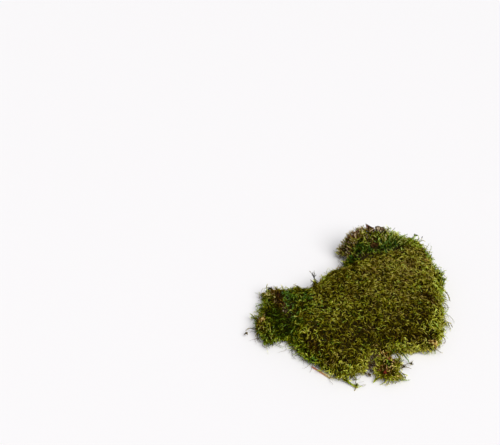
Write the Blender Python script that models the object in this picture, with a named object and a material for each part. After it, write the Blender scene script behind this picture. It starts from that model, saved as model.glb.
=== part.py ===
"""A torn clump of dried sheet moss, lying on its flat root side.

The mat is one grown piece: a domed field with a raised fold at the back, a low lobe at the left and a
torn tuft at the front. A dead stalk lies under its rim, and scraps of bark and leaf lie bedded on it.
Lengths below are millimetres in plan, X to the right and Y away from the viewer; the meshes are metres.
"""
import math
import random

import bpy
import numpy as np
from mathutils import Vector, noise
from mathutils.geometry import delaunay_2d_cdt

for leftover in list(bpy.data.objects):
    bpy.data.objects.remove(leftover, do_unlink=True)

MM = 0.001
SEED = 4207

# The plan's middle, so that the finished clump stands centred on the origin.
PLAN_CENTRE = (0.11, 1.38)

# Tufts: spacing and jitter of the lattice that carries them, how far they rise, how far the hollows
# between them sink, and how far the tips are combed over, in a direction that turns across the mat.
LATTICE = 3.9
JITTER = 0.95
TUFT_RISE = (0.2, 3.6)
HOLLOW_SINK = (0.0, 1.0)
TUFT_LEAN = 1.5
TIP_JITTER = 0.4
COMB_SIZE = 45.0

# The rim: spacing of its points, the reach of its scallops, tufts and few long tufts, the gap between
# two long ones, and how far a tip lies above or below its neighbours.
RIM_STEP = 3.1
SCALLOP_SIZE = 9.0
SCALLOP_REACH = 3.2
TUFT_REACH = (-0.9, 2.3)
LONG_REACH = (3.5, 6.5)
LONG_SHARE = 0.09
LONG_SPACING = 5
RIM_LIFT = 1.8

# The mat's section: width and fullness of its rounded shoulder, the rim's height as a share of the
# thickness, the lattice's clearance from the rim, and the step of the undercut down to the root side.
SHOULDER = 16.0
SHOULDER_FULLNESS = 0.7
RIM_LEVEL = 0.36
RIM_CLEARANCE = 0.62 * LATTICE
ROOT_LEVEL = 2.4
ROOT_SHARE = 0.35

# What lies bedded on the mat: its gap to the mat, the margin of its bed, and its outline's spacing.
BEDDING = 0.45
BED_MARGIN = 1.2 * LATTICE
SCRAP_STEP = 1.7

# The mat's outline, anticlockwise from the left lobe: x, y, undercut below the rim, raggedness (0 to 1).
OUTLINE = (
    (-98, -40, 5, 0.9), (-90, -52, 5, 0.8), (-78, -57, 4, 0.8), (-68, -56, 3, 0.5),
    (-62, -64, 4, 0.7), (-53, -75, 5, 0.6), (-42, -84, 5, 0.4), (-29, -95, 5, 0.4),
    (-16, -101, 4, 0.9), (-3, -97, 4, 0.9), (6, -92, 3, 0.6), (10, -80, 2, 0.2),
    (12, -69, 2, 0.2), (18, -66, 1, 0.1), (20, -72, 1, 0.1), (17, -83, 2, 0.3),
    (16, -96, 3, 0.7), (24, -103, 3, 0.9), (35, -100, 3, 0.9), (39, -88, 3, 0.8),
    (37, -78, 2, 0.4), (32, -71, 1, 0.1), (34, -66, 1, 0.1), (43, -65, 2, 0.5),
    (58, -67, 4, 0.9), (73, -64, 4, 0.8), (83, -53, 4, 0.9), (89, -38, 5, 0.9),
    (94, -18, 5, 0.9), (98, 2, 5, 0.9), (102, 22, 5, 0.9), (104, 40, 5, 0.9),
    (101, 58, 5, 0.9), (98, 76, 5, 0.9), (92, 95, 5, 0.9), (79, 105, 5, 0.9),
    (60, 108, 6, 0.9), (42, 109, 7, 0.8), (24, 107, 8, 0.8), (8, 99, 8, 0.8),
    (-2, 86, 8, 0.8), (1, 71, 6, 0.5), (0, 59, 5, 0.4), (-12, 48, 5, 0.7),
    (-22, 37, 5, 0.7), (-33, 28, 5, 0.7), (-43, 21, 5, 0.7), (-54, 23, 5, 0.7),
    (-65, 21, 4, 0.7), (-76, 20, 4, 0.7), (-87, 14, 4, 0.8), (-89, 2, 4, 0.6),
    (-92, -10, 4, 0.8), (-97, -25, 5, 0.9),
)

# Tips of the single long shoots that stray past the rim: x, y, z.
STRAY_TIPS = (
    (-107, -41, 4), (-101, -17, 7), (-3, -110, 3), (45, -101, 3), (45, -78, 4),
    (106, 4, 9), (100, -31, 7), (-34, 28, 22), (95, 101, 15),
)

# Thickness of the mat, and what raises or lowers it: x, y, radius, height.
THICKNESS = 19.0
MOUNDS = (
    (25, 15, 52, 4.5), (70, 45, 34, 2.0), (-22, -4, 30, 1.5), (-52, -52, 17, 2.0),
    (62, -48, 30, -4.0), (5, -72, 26, -5.0), (-20, -84, 14, 2.0), (27, -86, 14, -5.5),
    (26, -68, 9, -7.0), (-84, -18, 24, -7.0), (-80, 8, 10, 5.0), (-85, -38, 11, 3.5),
    (-50, 8, 16, -1.5), (84, 84, 20, -1.0), (84, -20, 16, 1.5),
)
# Ridges (height above the mat) and creases (below it): width, height, then the points they follow.
FOLDS = (
    (11.0, 13.5, ((9, 78), (24, 92), (44, 96), (66, 90))),
    (5.5, -5.5, ((-4, 52), (18, 61), (40, 70), (62, 80))),
    (6.5, -5.5, ((-62, 16), (-61, -18), (-67, -56))),
    (7.0, -2.2, ((30, -28), (52, -34), (70, -26))),
)
# Low lumps all over: size across and height, broad ones first.
LUMPS = ((34.0, 4.2), (13.0, 1.8))

# The dead stalk: the points it follows (x, y, z), its radius at both ends, its knots, sides and rings.
STALK_PATH = ((-46.0, -80.0, 1.2), (-38.8, -86.0, 1.2), (-31.0, -92.8, 1.2), (-23.5, -98.8, 1.2))
STALK_RADIUS = (0.95, 0.60)
STALK_KNOT = 0.12
STALK_SIDES = 7
STALK_RINGS = 16


def material(name, colour, roughness):
    """A matte Principled material in the part's colour."""
    finish = bpy.data.materials.new(name)
    finish.use_nodes = True
    shader = finish.node_tree.nodes["Principled BSDF"]
    shader.inputs["Base Color"].default_value = (*colour, 1.0)
    shader.inputs["Roughness"].default_value = roughness
    shader.inputs["Metallic"].default_value = 0.0
    return finish


def solid(name, points, faces, finish):
    """One named closed solid from points in millimetres."""
    mesh = bpy.data.meshes.new(name)
    shift = np.array((PLAN_CENTRE[0], PLAN_CENTRE[1], 0.0))
    mesh.from_pydata(((np.array(points) - shift) * MM).tolist(), [], faces)
    mesh.validate()
    mesh.materials.append(finish)
    piece = bpy.data.objects.new(name, mesh)
    bpy.context.scene.collection.objects.link(piece)
    return piece


def closed_curve(controls, step):
    """Points about one step apart on a closed Catmull-Rom curve through the controls, all columns."""
    knots = np.array(controls, dtype=float)
    before, after, beyond = (np.roll(knots, shift, axis=0) for shift in (1, -1, -2))
    spans = []
    for t in np.linspace(0.0, 1.0, 24, endpoint=False):
        spans.append(0.5 * (2 * knots + (after - before) * t
                            + (2 * before - 5 * knots + 4 * after - beyond) * t ** 2
                            + (3 * knots - before - 3 * after + beyond) * t ** 3))
    fine = np.stack(spans, axis=1).reshape(-1, knots.shape[1])
    loop = np.vstack((fine, fine[:1]))
    travelled = np.concatenate(([0.0], np.cumsum(np.hypot(*np.diff(loop[:, :2], axis=0).T))))
    count = 2 * round(travelled[-1] / step / 2)
    wanted = np.arange(count) * travelled[-1] / count
    return np.stack([np.interp(wanted, travelled, column) for column in loop.T], axis=1)


def outward_normals(loop):
    """Unit normals that point out of an anticlockwise loop."""
    along = np.roll(loop, -1, axis=0) - np.roll(loop, 1, axis=0)
    along /= np.linalg.norm(along, axis=1, keepdims=True)
    return np.stack((along[:, 1], -along[:, 0]), axis=1)


def distance_to_path(points, path):
    """Shortest distance in plan from each point to a path of straight runs."""
    nearest = np.full(len(points), 1e9)
    for start, end in zip(path[:-1], path[1:]):
        run = np.subtract(end, start, dtype=float)
        share = np.clip((points - start) @ run / (run @ run), 0.0, 1.0)
        nearest = np.minimum(nearest, np.linalg.norm(points - start - share[:, None] * run, axis=1))
    return nearest


def crown_height(points):
    """Height of the mat's top away from its rim: thickness, mounds, folds and low lumps."""
    height = np.full(len(points), THICKNESS)
    for x, y, radius, rise in MOUNDS:
        height += rise * np.exp(-((points[:, 0] - x) ** 2 + (points[:, 1] - y) ** 2) / radius ** 2)
    for width, rise, path in FOLDS:
        height += rise * np.exp(-(distance_to_path(points, path) / width) ** 2)
    for size, rise in LUMPS:
        height += rise * np.array([noise.noise(Vector((x / size, y / size, size))) for x, y in points])
    return height


def lattice_points(loop, draw):
    """Jittered triangular lattice inside the loop, with each point's place in a tuft (0 is its tip)."""
    low, high = loop.min(axis=0), loop.max(axis=0)
    row_step = LATTICE * math.sqrt(3) / 2
    places = []
    for row in range(int((high[1] - low[1]) / row_step) + 1):
        for column in range(int((high[0] - low[0]) / LATTICE) + 1):
            x = low[0] + (column + 0.5 * (row % 2)) * LATTICE
            y = low[1] + row * row_step
            jitter = (draw.uniform(-JITTER, JITTER), draw.uniform(-JITTER, JITTER))
            tuft_place = (column - row // 2 + 2 * row) % 3
            places.append((x + jitter[0], y + jitter[1], tuft_place))
    return np.array(places)


def inside(points, loop):
    """Which points lie within the loop, by counting crossings."""
    crossings = np.zeros(len(points), dtype=int)
    for start, end in zip(loop, np.roll(loop, -1, axis=0)):
        spans = (start[1] > points[:, 1]) != (end[1] > points[:, 1])
        with np.errstate(divide="ignore", invalid="ignore"):
            reach = (end[0] - start[0]) * (points[:, 1] - start[1]) / (end[1] - start[1]) + start[0]
        crossings += spans & (points[:, 0] < reach)
    return crossings % 2 == 1


def fill_loop(loop, interior=()):
    """Triangles that fill a loop and use the interior points; the loop's points come first."""
    points = [Vector(point) for point in (*loop, *interior)]
    ring = [(k, (k + 1) % len(loop)) for k in range(len(loop))]
    placed, _, faces, _, _, _ = delaunay_2d_cdt(points, ring, [], 1, 1e-5)
    assert len(placed) == len(points), "the outline crosses itself"
    return faces


def rim_points(loop, out, ragged, draw):
    """The rim's ragged line: scallops, short tufts, a few long ones and the tips that stray."""
    reach = np.zeros(len(loop))
    lift = np.zeros(len(loop))
    since_long = 0
    for k, (x, y) in enumerate(loop):
        scallop = SCALLOP_REACH * noise.noise(Vector((x / SCALLOP_SIZE, y / SCALLOP_SIZE, 0.5)))
        is_long = since_long >= LONG_SPACING and draw.random() < LONG_SHARE
        since_long = 0 if is_long else since_long + 1
        reach[k] = (scallop + draw.uniform(*(LONG_REACH if is_long else TUFT_REACH))) * ragged[k]
        lift[k] = draw.uniform(-RIM_LIFT, RIM_LIFT) * ragged[k]
    rim = np.column_stack((loop + out * reach[:, None], RIM_LEVEL * crown_height(loop) + lift))
    for tip in STRAY_TIPS:
        rim[np.linalg.norm(loop - tip[:2], axis=1).argmin()] = tip
    return rim


def top_points(loop, scraps, draw):
    """The tufted top: a lattice of combed tips and hollows under a rounded shoulder, with its beds."""
    places = lattice_points(loop, draw)
    closed = np.vstack((loop, loop[:1]))
    from_rim = distance_to_path(places[:, :2], closed)
    kept = inside(places[:, :2], loop) & (from_rim > RIM_CLEARANCE)
    places, from_rim = places[kept], from_rim[kept]
    share = np.clip(from_rim / SHOULDER, 0.0, 1.0)
    shoulder = RIM_LEVEL + (1 - RIM_LEVEL) * np.sin(share * math.pi / 2) ** SHOULDER_FULLNESS
    top = crown_height(places[:, :2]) * shoulder
    plan = places[:, :2].copy()
    for k, (x, y, tuft_place) in enumerate(places):
        if tuft_place == 0:
            top[k] += draw.uniform(*TUFT_RISE)
            lean = TUFT_LEAN * min(1.0, max(0.0, from_rim[k] / LATTICE - 0.8))
            comb = 2 * math.pi * noise.noise(Vector((x / COMB_SIZE, y / COMB_SIZE, 3.5)))
            plan[k, 0] += lean * math.cos(comb) + draw.uniform(-TIP_JITTER, TIP_JITTER)
            plan[k, 1] += lean * math.sin(comb) + draw.uniform(-TIP_JITTER, TIP_JITTER)
        else:
            top[k] -= draw.uniform(*HOLLOW_SINK)
    for scrap in scraps:
        scrap.settle(plan, top)
    return np.column_stack((plan, top))


def build_mat(scraps, finish):
    """The grown mat: a tufted, domed top, a ragged rim with an undercut, and a flat root side."""
    draw = random.Random(SEED)
    ring = closed_curve(OUTLINE, RIM_STEP)
    loop, undercut, ragged = ring[:, :2], ring[:, 2:3], ring[:, 3]
    out = outward_normals(loop)
    count = len(loop)
    rim = rim_points(loop, out, ragged, draw)
    top = top_points(loop, scraps, draw)
    root_edge = np.column_stack((loop - out * ROOT_SHARE * undercut, np.full(count, ROOT_LEVEL)))
    root = np.column_stack((loop - out * undercut, np.zeros(count)))

    edge_start = count + len(top)
    root_start = edge_start + count
    faces = [tuple(face) for face in fill_loop(rim[:, :2], top[:, :2])]
    for k in range(count):
        following = (k + 1) % count
        faces.append((k, edge_start + k, edge_start + following, following))
        faces.append((edge_start + k, root_start + k, root_start + following, edge_start + following))
    faces += [tuple(root_start + corner for corner in reversed(face)) for face in fill_loop(root[:, :2])]
    return solid("moss_mat", np.vstack((rim, top, root_edge, root)), faces, finish)


class Scrap:
    """A thin flake of bark or leaf: a curled plate over an outline, bedded on the slope of the mat."""

    def __init__(self, name, outline, place, turn, proud, tip, thickness, curl, finish):
        self.name = name
        self.outline = outline
        self.middle = np.array(place, dtype=float)
        self.turn = math.radians(turn)
        self.proud = proud
        self.tip = np.array(tip)
        self.thickness = thickness
        self.curl = curl
        self.finish = finish

    def plan_outline(self):
        """The outline turned and put in its place."""
        shape = closed_curve(self.outline, SCRAP_STEP)[:, :2]
        cos, sin = math.cos(self.turn), math.sin(self.turn)
        return self.middle + shape @ np.array(((cos, sin), (-sin, cos)))

    def settle(self, plan, top):
        """Lay the underside on the mean slope under the flake, and lower the mat to clear it."""
        loop = self.plan_outline()
        closed = np.vstack((loop, loop[:1]))
        near = inside(plan, loop) | (distance_to_path(plan, closed) < BED_MARGIN)
        under = plan[near] - self.middle
        terms = np.column_stack((np.ones(len(under)), under))
        self.level, *slope = np.linalg.lstsq(terms, top[near], rcond=None)[0]
        self.level += self.proud
        self.slope = np.array(slope) + self.tip
        top[near] = np.minimum(top[near], self.underside(plan[near]) - BEDDING)

    def underside(self, plan):
        """Height of the plane that the flake's underside lies on."""
        return self.level + (plan - self.middle) @ self.slope

    def build(self):
        """Two skins a thickness apart, raised into a curl towards both ends of the outline."""
        loop = self.plan_outline()
        centre = loop.mean(axis=0)
        count = len(loop)
        rings = [centre + (loop - centre) * share for share in (1.0, 0.55)]
        plan = np.vstack((*rings, centre[None, :]))
        spread = np.linalg.norm(loop - centre, axis=1).max()
        along = (plan - centre) @ np.array((math.cos(self.turn), math.sin(self.turn))) / spread
        base = self.underside(plan) + self.curl * along ** 2
        lower = np.column_stack((plan, base))
        upper = np.column_stack((plan, base + self.thickness))
        upper[:count, :2] = centre + (upper[:count, :2] - centre) * 0.93
        upper[:count, 2] -= 0.35 * self.thickness
        size = len(plan)
        faces = []
        for k in range(count):
            following = (k + 1) % count
            faces.append((following, k, count + k, count + following))
            faces.append((size + k, size + following, size + count + following, size + count + k))
            faces.append((count + following, count + k, 2 * count))
            faces.append((size + count + k, size + count + following, size + 2 * count))
            faces.append((k, following, size + following, size + k))
        return solid(self.name, np.vstack((lower, upper)), faces, self.finish)


def build_stalk(finish):
    """The dead stalk: a slightly bent, tapering rod with low knots, lying under the front left rim."""
    points = []
    for ring in range(STALK_RINGS + 1):
        travelled = ring / STALK_RINGS * (len(STALK_PATH) - 1)
        start = min(int(travelled), len(STALK_PATH) - 2)
        middle = Vector(STALK_PATH[start]).lerp(Vector(STALK_PATH[start + 1]), travelled - start)
        along = Vector(STALK_PATH[start + 1]) - Vector(STALK_PATH[start])
        across = along.cross(Vector((0.0, 0.0, 1.0))).normalized()
        knot = STALK_KNOT if ring % 5 == 2 else 0.0
        radius = STALK_RADIUS[0] + (STALK_RADIUS[1] - STALK_RADIUS[0]) * ring / STALK_RINGS + knot
        for side in range(STALK_SIDES):
            angle = 2 * math.pi * side / STALK_SIDES
            points.append(middle + (across * math.cos(angle) + Vector((0, 0, math.sin(angle)))) * radius)
    faces = []
    for ring in range(STALK_RINGS):
        near, far = ring * STALK_SIDES, (ring + 1) * STALK_SIDES
        for side in range(STALK_SIDES):
            following = (side + 1) % STALK_SIDES
            faces.append((near + side, far + side, far + following, near + following))
    faces.append(tuple(range(STALK_SIDES)))
    faces.append(tuple(STALK_RINGS * STALK_SIDES + side for side in range(STALK_SIDES))[::-1])
    return solid("dry_stalk", points, faces, finish)


moss = material("moss_green", (0.13, 0.15, 0.02), 0.9)
bark = material("bark_brown", (0.045, 0.025, 0.015), 0.8)
leaf = material("leaf_tan", (0.28, 0.17, 0.08), 0.8)
husk = material("husk_cream", (0.50, 0.45, 0.30), 0.9)
stalk = material("stalk_red_brown", (0.32, 0.12, 0.06), 0.7)
red = material("leaf_dark_red", (0.20, 0.03, 0.02), 0.8)

FLAKE = ((-5.5, -2.0), (-2.0, -3.4), (3.0, -2.6), (6.0, 0.5), (3.5, 3.2), (-2.5, 2.8))
STRIP = ((-10.5, -2.2), (-4.0, -3.8), (4.0, -3.2), (10.5, -1.2), (9.0, 2.8), (0.5, 3.8), (-8.5, 2.8))
CHIP = ((-2.6, -1.2), (0.2, -2.2), (2.6, -0.8), (2.2, 1.6), (-0.6, 2.1), (-2.4, 1.0))
HUSK = ((-4.6, -2.2), (-1.0, -3.2), (3.0, -2.8), (4.8, 0.2), (2.4, 2.8), (-2.6, 2.6))

# Each scrap: outline, place, turn in degrees, how proud of the mat it lies, its extra slope in x and y,
# its thickness and its curl.
scraps = (
    Scrap("bark_flake", FLAKE, (34.5, 95), 145, 0.8, (-0.35, 0.20), 1.2, 1.0, bark),
    Scrap("pale_husk", HUSK, (46, 94), 5, 0.4, (0.0, 0.20), 2.0, 0.3, husk),
    Scrap("fold_leaf", FLAKE, (37.5, 77), 20, 0.0, (0.0, 0.05), 0.9, 0.8, leaf),
    Scrap("bark_strip", STRIP, (-71, 0), 82, 0.2, (0.0, 0.0), 1.4, 0.8, bark),
    Scrap("pale_chip", CHIP, (-65, -17), 30, 0.3, (0.0, 0.0), 1.2, 0.4, husk),
    Scrap("tan_chip", CHIP, (-86, -32), 60, 0.3, (0.0, 0.0), 1.2, 0.4, leaf),
    Scrap("corner_leaf", FLAKE, (72, -57), 12, 0.2, (0.0, 0.0), 0.9, 1.0, leaf),
    Scrap("red_scrap", CHIP, (22.5, -96), -20, 0.2, (0.0, 0.0), 1.0, 0.6, red),
)

build_mat(scraps, moss)
for scrap in scraps:
    scrap.build()
build_stalk(stalk)
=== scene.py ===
"""A torn clump of dried sheet moss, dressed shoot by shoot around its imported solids."""
import math

import bpy
import numpy as np
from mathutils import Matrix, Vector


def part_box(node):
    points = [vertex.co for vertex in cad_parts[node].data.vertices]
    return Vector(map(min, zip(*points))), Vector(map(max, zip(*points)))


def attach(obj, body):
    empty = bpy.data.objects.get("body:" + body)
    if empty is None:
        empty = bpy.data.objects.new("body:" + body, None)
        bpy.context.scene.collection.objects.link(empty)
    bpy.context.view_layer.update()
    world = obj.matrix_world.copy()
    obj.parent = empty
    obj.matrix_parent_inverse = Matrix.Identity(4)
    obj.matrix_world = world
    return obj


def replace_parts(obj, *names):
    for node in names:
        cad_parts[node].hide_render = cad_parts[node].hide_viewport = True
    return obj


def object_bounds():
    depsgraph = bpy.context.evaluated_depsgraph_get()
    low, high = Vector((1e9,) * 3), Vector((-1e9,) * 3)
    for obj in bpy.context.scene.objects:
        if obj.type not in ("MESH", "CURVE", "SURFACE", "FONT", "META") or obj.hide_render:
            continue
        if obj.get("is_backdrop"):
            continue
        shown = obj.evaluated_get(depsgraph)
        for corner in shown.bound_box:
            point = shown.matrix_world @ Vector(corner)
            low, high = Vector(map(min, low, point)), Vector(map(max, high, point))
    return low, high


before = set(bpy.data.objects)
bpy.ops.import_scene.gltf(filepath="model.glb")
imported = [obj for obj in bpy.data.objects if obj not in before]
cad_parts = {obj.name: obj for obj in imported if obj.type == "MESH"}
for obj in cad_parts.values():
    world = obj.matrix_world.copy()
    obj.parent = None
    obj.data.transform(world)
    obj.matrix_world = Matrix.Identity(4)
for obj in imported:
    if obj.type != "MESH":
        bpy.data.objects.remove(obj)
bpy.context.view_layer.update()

# ------------ studio
# The clump lies loose on a seamless white sheet. Broad soft light falls on it from above and from the
# front right, so its shadows are pale and lie behind it and to its left.
FOCAL_PIXELS = 682.0
IMAGE_WIDTH = 500.0
SENSOR_WIDTH = 36.0
CAMERA_PLACE = (-0.1001, -0.5314, 0.467)
CAMERA_PITCH = 34.2
SUN_HEIGHT = 50.0
SUN_AZIMUTH = -60.0
SUN_SOFTNESS = 50.0
SUN_ENERGY = 3.1
SUN_COLOUR = (1.0, 0.985, 0.96)
ROOM_LIGHT = 0.3
ROOM_COLOUR = (0.965, 0.965, 1.0, 1.0)
PAPER_COLOUR = (0.93, 0.925, 0.945, 1.0)
SHEET_SIDE = 6.0
SHEET_LEVEL = -0.00005


def dial(node, values):
    """Sets a node's inputs to the values given for them by name."""
    for socket, value in values.items():
        node.inputs[socket].default_value = value


lens = bpy.data.cameras.new("camera")
lens.sensor_width = SENSOR_WIDTH
lens.lens = SENSOR_WIDTH * FOCAL_PIXELS / IMAGE_WIDTH
lens.clip_start = 0.01
camera = bpy.data.objects.new("camera", lens)
camera.location = CAMERA_PLACE
camera.rotation_euler = (math.radians(90.0 - CAMERA_PITCH), 0.0, 0.0)
bpy.context.scene.collection.objects.link(camera)
bpy.context.scene.camera = camera
bpy.context.scene.view_settings.view_transform = "Standard"

world = bpy.data.worlds.new("white room")
world.use_nodes = True
dial(world.node_tree.nodes["Background"], {"Color": ROOM_COLOUR, "Strength": ROOM_LIGHT})
bpy.context.scene.world = world

sun = bpy.data.lights.new("soft sun", "SUN")
sun.energy = SUN_ENERGY
sun.angle = math.radians(SUN_SOFTNESS)
sun.color = SUN_COLOUR
sun_place = bpy.data.objects.new("soft sun", sun)
sun_place.rotation_euler = (0.0, math.radians(90.0 - SUN_HEIGHT), math.radians(SUN_AZIMUTH))
bpy.context.scene.collection.objects.link(sun_place)

half = SHEET_SIDE / 2
sheet_mesh = bpy.data.meshes.new("paper_sheet")
sheet_plan = [(-half, -half), (half, -half), (half, half), (-half, half)]
sheet_mesh.from_pydata([(x, y, SHEET_LEVEL) for x, y in sheet_plan], [], [(0, 1, 2, 3)])
sheet = bpy.data.objects.new("paper_sheet", sheet_mesh)
bpy.context.scene.collection.objects.link(sheet)
paper = bpy.data.materials.new("white paper")
paper.use_nodes = True
dial(paper.node_tree.nodes["Principled BSDF"], {"Base Color": PAPER_COLOUR, "Roughness": 0.9})
sheet_mesh.materials.append(paper)
sheet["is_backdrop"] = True

# ------------ dead bed
# Under the living shoots lies the felt of older, dead ones: brown, springy and matted together.
# It is one grown mass, which carries every shoot and rests flat on the ground with its root side.
MM = 0.001
MERGE = 0.01 * MM
BED_ROUNDS = 8
BED_SHARE = 0.5
BED_INSET = 2.4 * MM
BED_FLOOR = 0.3 * MM
TIP_FROM = -95 * MM
TIP_SHARE = 0.25
UNEVEN = 0.5 * MM
UNEVEN_SIZE = 10 * MM
# Bumps and dents of the tangle: a reach, a height and a route in plan (x, y, x, y), all in millimetres.
SWELLS = [
    (20, -3.5, -6, 64, -4, 76), (10, -4, 0, 60, 2, 74), (8, -3.5, 0, 68, 2, 76), (9, 4.5, 0, 61, 6, 57),
    (14, -6, -94, 6, -92, -14), (7, -3, -72, 12, -64, 12), (8, -2, -40, 14, -30, 22),
    (13, -4, -100, -26, -98, -48), (9, -2, -92, -52, -76, -60), (13, -5, -70, -60, -56, -76),
    (8, -2.5, -68, -58, -57, -64), (13, -2, -44, -84, -28, -96), (10, -3.5, -8, -104, 6, -102),
    (8, -5, -14, -107, -3, -99), (8, -3, 3, -74, 7, -92), (16, -3.5, 58, 106, 72, 104),
    (10, -2, 56, 88, 66, 90, 76, 86), (10, 2.5, 28, 97, 50, 95), (11, -4.5, 95, -26, 92, -44, 87, -56),
    (8, -2.5, 86, -62, 76, -68), (9, -1.5, 56, -68, 66, -68), (14, 2.5, 84, 94, 96, 78),
    (8, -3, 99, 66, 101, 58), (7, 2, 101, 48, 101, 42), (8, 2, 102, 38, 102, 30),
    (12, -4.5, 106, 20, 104, 0, 101, -16), (7, 2.5, -88, 12, -82, 13), (14, -4, 8, 98, 18, 106),
    (9, -3.5, 36, -82, 38, -95), (8, -4, 36, -95, 44, -102), (8, -3, 18, -105, 30, -105),
]


def corners_of(node):
    """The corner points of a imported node's triangles, as an array (triangle, corner, xyz)."""
    mesh = node.data
    points = np.empty(len(mesh.vertices) * 3, np.float32)
    mesh.vertices.foreach_get("co", points)
    index = np.empty(len(mesh.loops), np.int32)
    mesh.loops.foreach_get("vertex_index", index)
    return points.reshape(-1, 3)[index].reshape(-1, 3, 3).astype(float)


def merged(corners):
    """Points and triangles with one point for each place: corners that are equal to 0.01 mm share it."""
    loose = corners.reshape(-1, 3)
    place = np.round(loose / MERGE).astype(np.int64)
    _, first, index = np.unique(place, axis=0, return_index=True, return_inverse=True)
    return loose[first], index.reshape(-1, 3)


def unit(vectors):
    """Each vector divided by its own length."""
    return vectors / np.maximum(np.linalg.norm(vectors, axis=-1, keepdims=True), 1e-12)


def area_normals(corners):
    """Each triangle's normal, as long as the triangle's area: half the cross product of two sides."""
    return np.cross(corners[:, 1] - corners[:, 0], corners[:, 2] - corners[:, 0]) / 2


def relaxed(points, faces, rounds, share):
    """Each round moves every point that share of the way to the mean of its neighbours."""
    start, end = faces.ravel(), faces[:, [1, 2, 0]].ravel()
    neighbours = np.bincount(start, minlength=len(points))[:, None]
    for _ in range(rounds):
        total = np.zeros_like(points)
        np.add.at(total, start, points[end])
        points = points + share * (total / neighbours - points)
    return points


def inset(points, faces, depth):
    """Every point moved by its depth against its outward normal, the sum of its triangles' area normals."""
    normal = np.zeros_like(points)
    np.add.at(normal, faces.ravel(), np.repeat(area_normals(points[faces]), 3, axis=0))
    return points - depth[:, None] * unit(normal)


def drift(points, size, seed, waves=24):
    """A smooth random field of unit spread: a sum of sine waves about that long in random directions."""
    rng = np.random.default_rng(seed)
    direction = unit(rng.normal(size=(waves, 3)))
    length = size * rng.uniform(0.7, 1.5, waves)
    turn = rng.uniform(0, 2 * math.pi, waves)
    return np.sin(points @ (direction / length[:, None]).T * 2 * math.pi + turn).sum(1) * math.sqrt(2 / waves)


def near(points, reach, *route):
    """How near points are to a route (x, y, x, y and so on) in plan: 3 s squared - 2 s cubed, where s falls
    evenly from 1 on the route to 0 at the reach. Route and reach are in millimetres."""
    route = np.array(route, float).reshape(-1, 2) * MM
    start, run = route[:-1], np.diff(route, axis=0)
    away = points[:, None, :2] - start
    along = np.clip((away * run).sum(2) / np.maximum((run ** 2).sum(1), 1e-12), 0, 1)
    distance = np.linalg.norm(away - along[..., None] * run, axis=2).min(1)
    share = np.clip(1 - distance / (reach * MM), 0, 1)
    return share * share * (3 - 2 * share)


def swell(points):
    """How far the tangle stands past its solid (or, below 0, falls short of it): a small random drift, and
    for each bump or dent its height times the nearness to its route."""
    total = UNEVEN * drift(points, UNEVEN_SIZE, 77)
    for reach, height, *route in SWELLS:
        total += height * MM * near(points, reach, *route)
    return total


def new_piece(name, points, faces, material, uv=None, smooth=False):
    """A mesh object made of triangles, in place, riding on the clump. uv holds one pair for each point."""
    mesh = bpy.data.meshes.new(name)
    mesh.vertices.add(len(points))
    mesh.vertices.foreach_set("co", points.astype(np.float32).ravel())
    mesh.loops.add(faces.size)
    mesh.loops.foreach_set("vertex_index", faces.astype(np.int32).ravel())
    mesh.polygons.add(len(faces))
    mesh.polygons.foreach_set("loop_start", np.arange(0, faces.size, 3, dtype=np.int32))
    mesh.polygons.foreach_set("use_smooth", np.full(len(faces), smooth))
    mesh.update(calc_edges=True)
    if uv is not None:
        layer = mesh.uv_layers.new(name="OFBake")
        layer.data.foreach_set("uv", uv[faces.ravel()].astype(np.float32).ravel())
    mesh.materials.append(material)
    piece = bpy.data.objects.new(name, mesh)
    bpy.context.scene.collection.objects.link(piece)
    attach(piece, "root")
    return piece


def plain_material(name, roughness, specular):
    """A material whose only shader is a Principled one: returns it, its nodes, its links and the shader."""
    material = bpy.data.materials.new(name)
    material.use_nodes = True
    tree = material.node_tree
    shader = tree.nodes["Principled BSDF"]
    dial(shader, {"Roughness": roughness, "Specular IOR Level": specular})
    return material, tree.nodes, tree.links, shader


def ramp_colour(nodes, links, place, stops):
    """The colour at a place on a ramp with the given stops: each a position, then red, green and blue."""
    ramp = nodes.new("ShaderNodeValToRGB")
    while len(ramp.color_ramp.elements) < len(stops):
        ramp.color_ramp.elements.new(0.5)
    for element, (position, *colour) in zip(ramp.color_ramp.elements, stops):
        element.position = position
        element.color = (*colour, 1.0)
    links.new(place, ramp.inputs["Fac"])
    return ramp.outputs["Color"]


def grain(nodes, links, scale, detail, stretch, turn):
    """Noise on Object coordinates, turned in plan, and drawn out along an axis by a stretch below 1."""
    place = nodes.new("ShaderNodeTexCoord")
    mapping = nodes.new("ShaderNodeMapping")
    dial(mapping, {"Scale": stretch, "Rotation": (0.0, 0.0, turn)})
    noise = nodes.new("ShaderNodeTexNoise")
    dial(noise, {"Scale": scale, "Detail": detail})
    links.new(place.outputs["Object"], mapping.inputs["Vector"])
    links.new(mapping.outputs["Vector"], noise.inputs["Vector"])
    return noise.outputs["Fac"]


def relief(nodes, links, shader, height, strength, depth):
    """Bump on a shader from a height output, with the given depth in metres."""
    bump = nodes.new("ShaderNodeBump")
    dial(bump, {"Strength": strength, "Distance": depth})
    links.new(height, bump.inputs["Height"])
    links.new(bump.outputs["Normal"], shader.inputs["Normal"])


def litter_material(name, stops, scale, rough, depth, stretch=(1.0, 1.0, 1.0), turn=0.0,
                    detail=5.0, strength=0.8, shine=0.05):
    """Dead plant matter: one noise gives both its blotched or streaked colour and the relief of that."""
    material, nodes, links, shader = plain_material(name, rough, shine)
    streaks = grain(nodes, links, scale, detail, stretch, turn)
    links.new(ramp_colour(nodes, links, streaks, stops), shader.inputs["Base Color"])
    relief(nodes, links, shader, streaks, strength, depth)
    return material


# Its near-black colour is partly the felt's own dark brown, partly painted shade deep between the shoots.
felt_and_shade = litter_material("dead felt and shade", [
    (0.3, 0.006, 0.004, 0.001), (0.5, 0.018, 0.012, 0.002), (0.7, 0.04, 0.028, 0.005),
], scale=900, rough=0.9, depth=1 * MM, detail=6, strength=0.9, shine=0.1)

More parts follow.
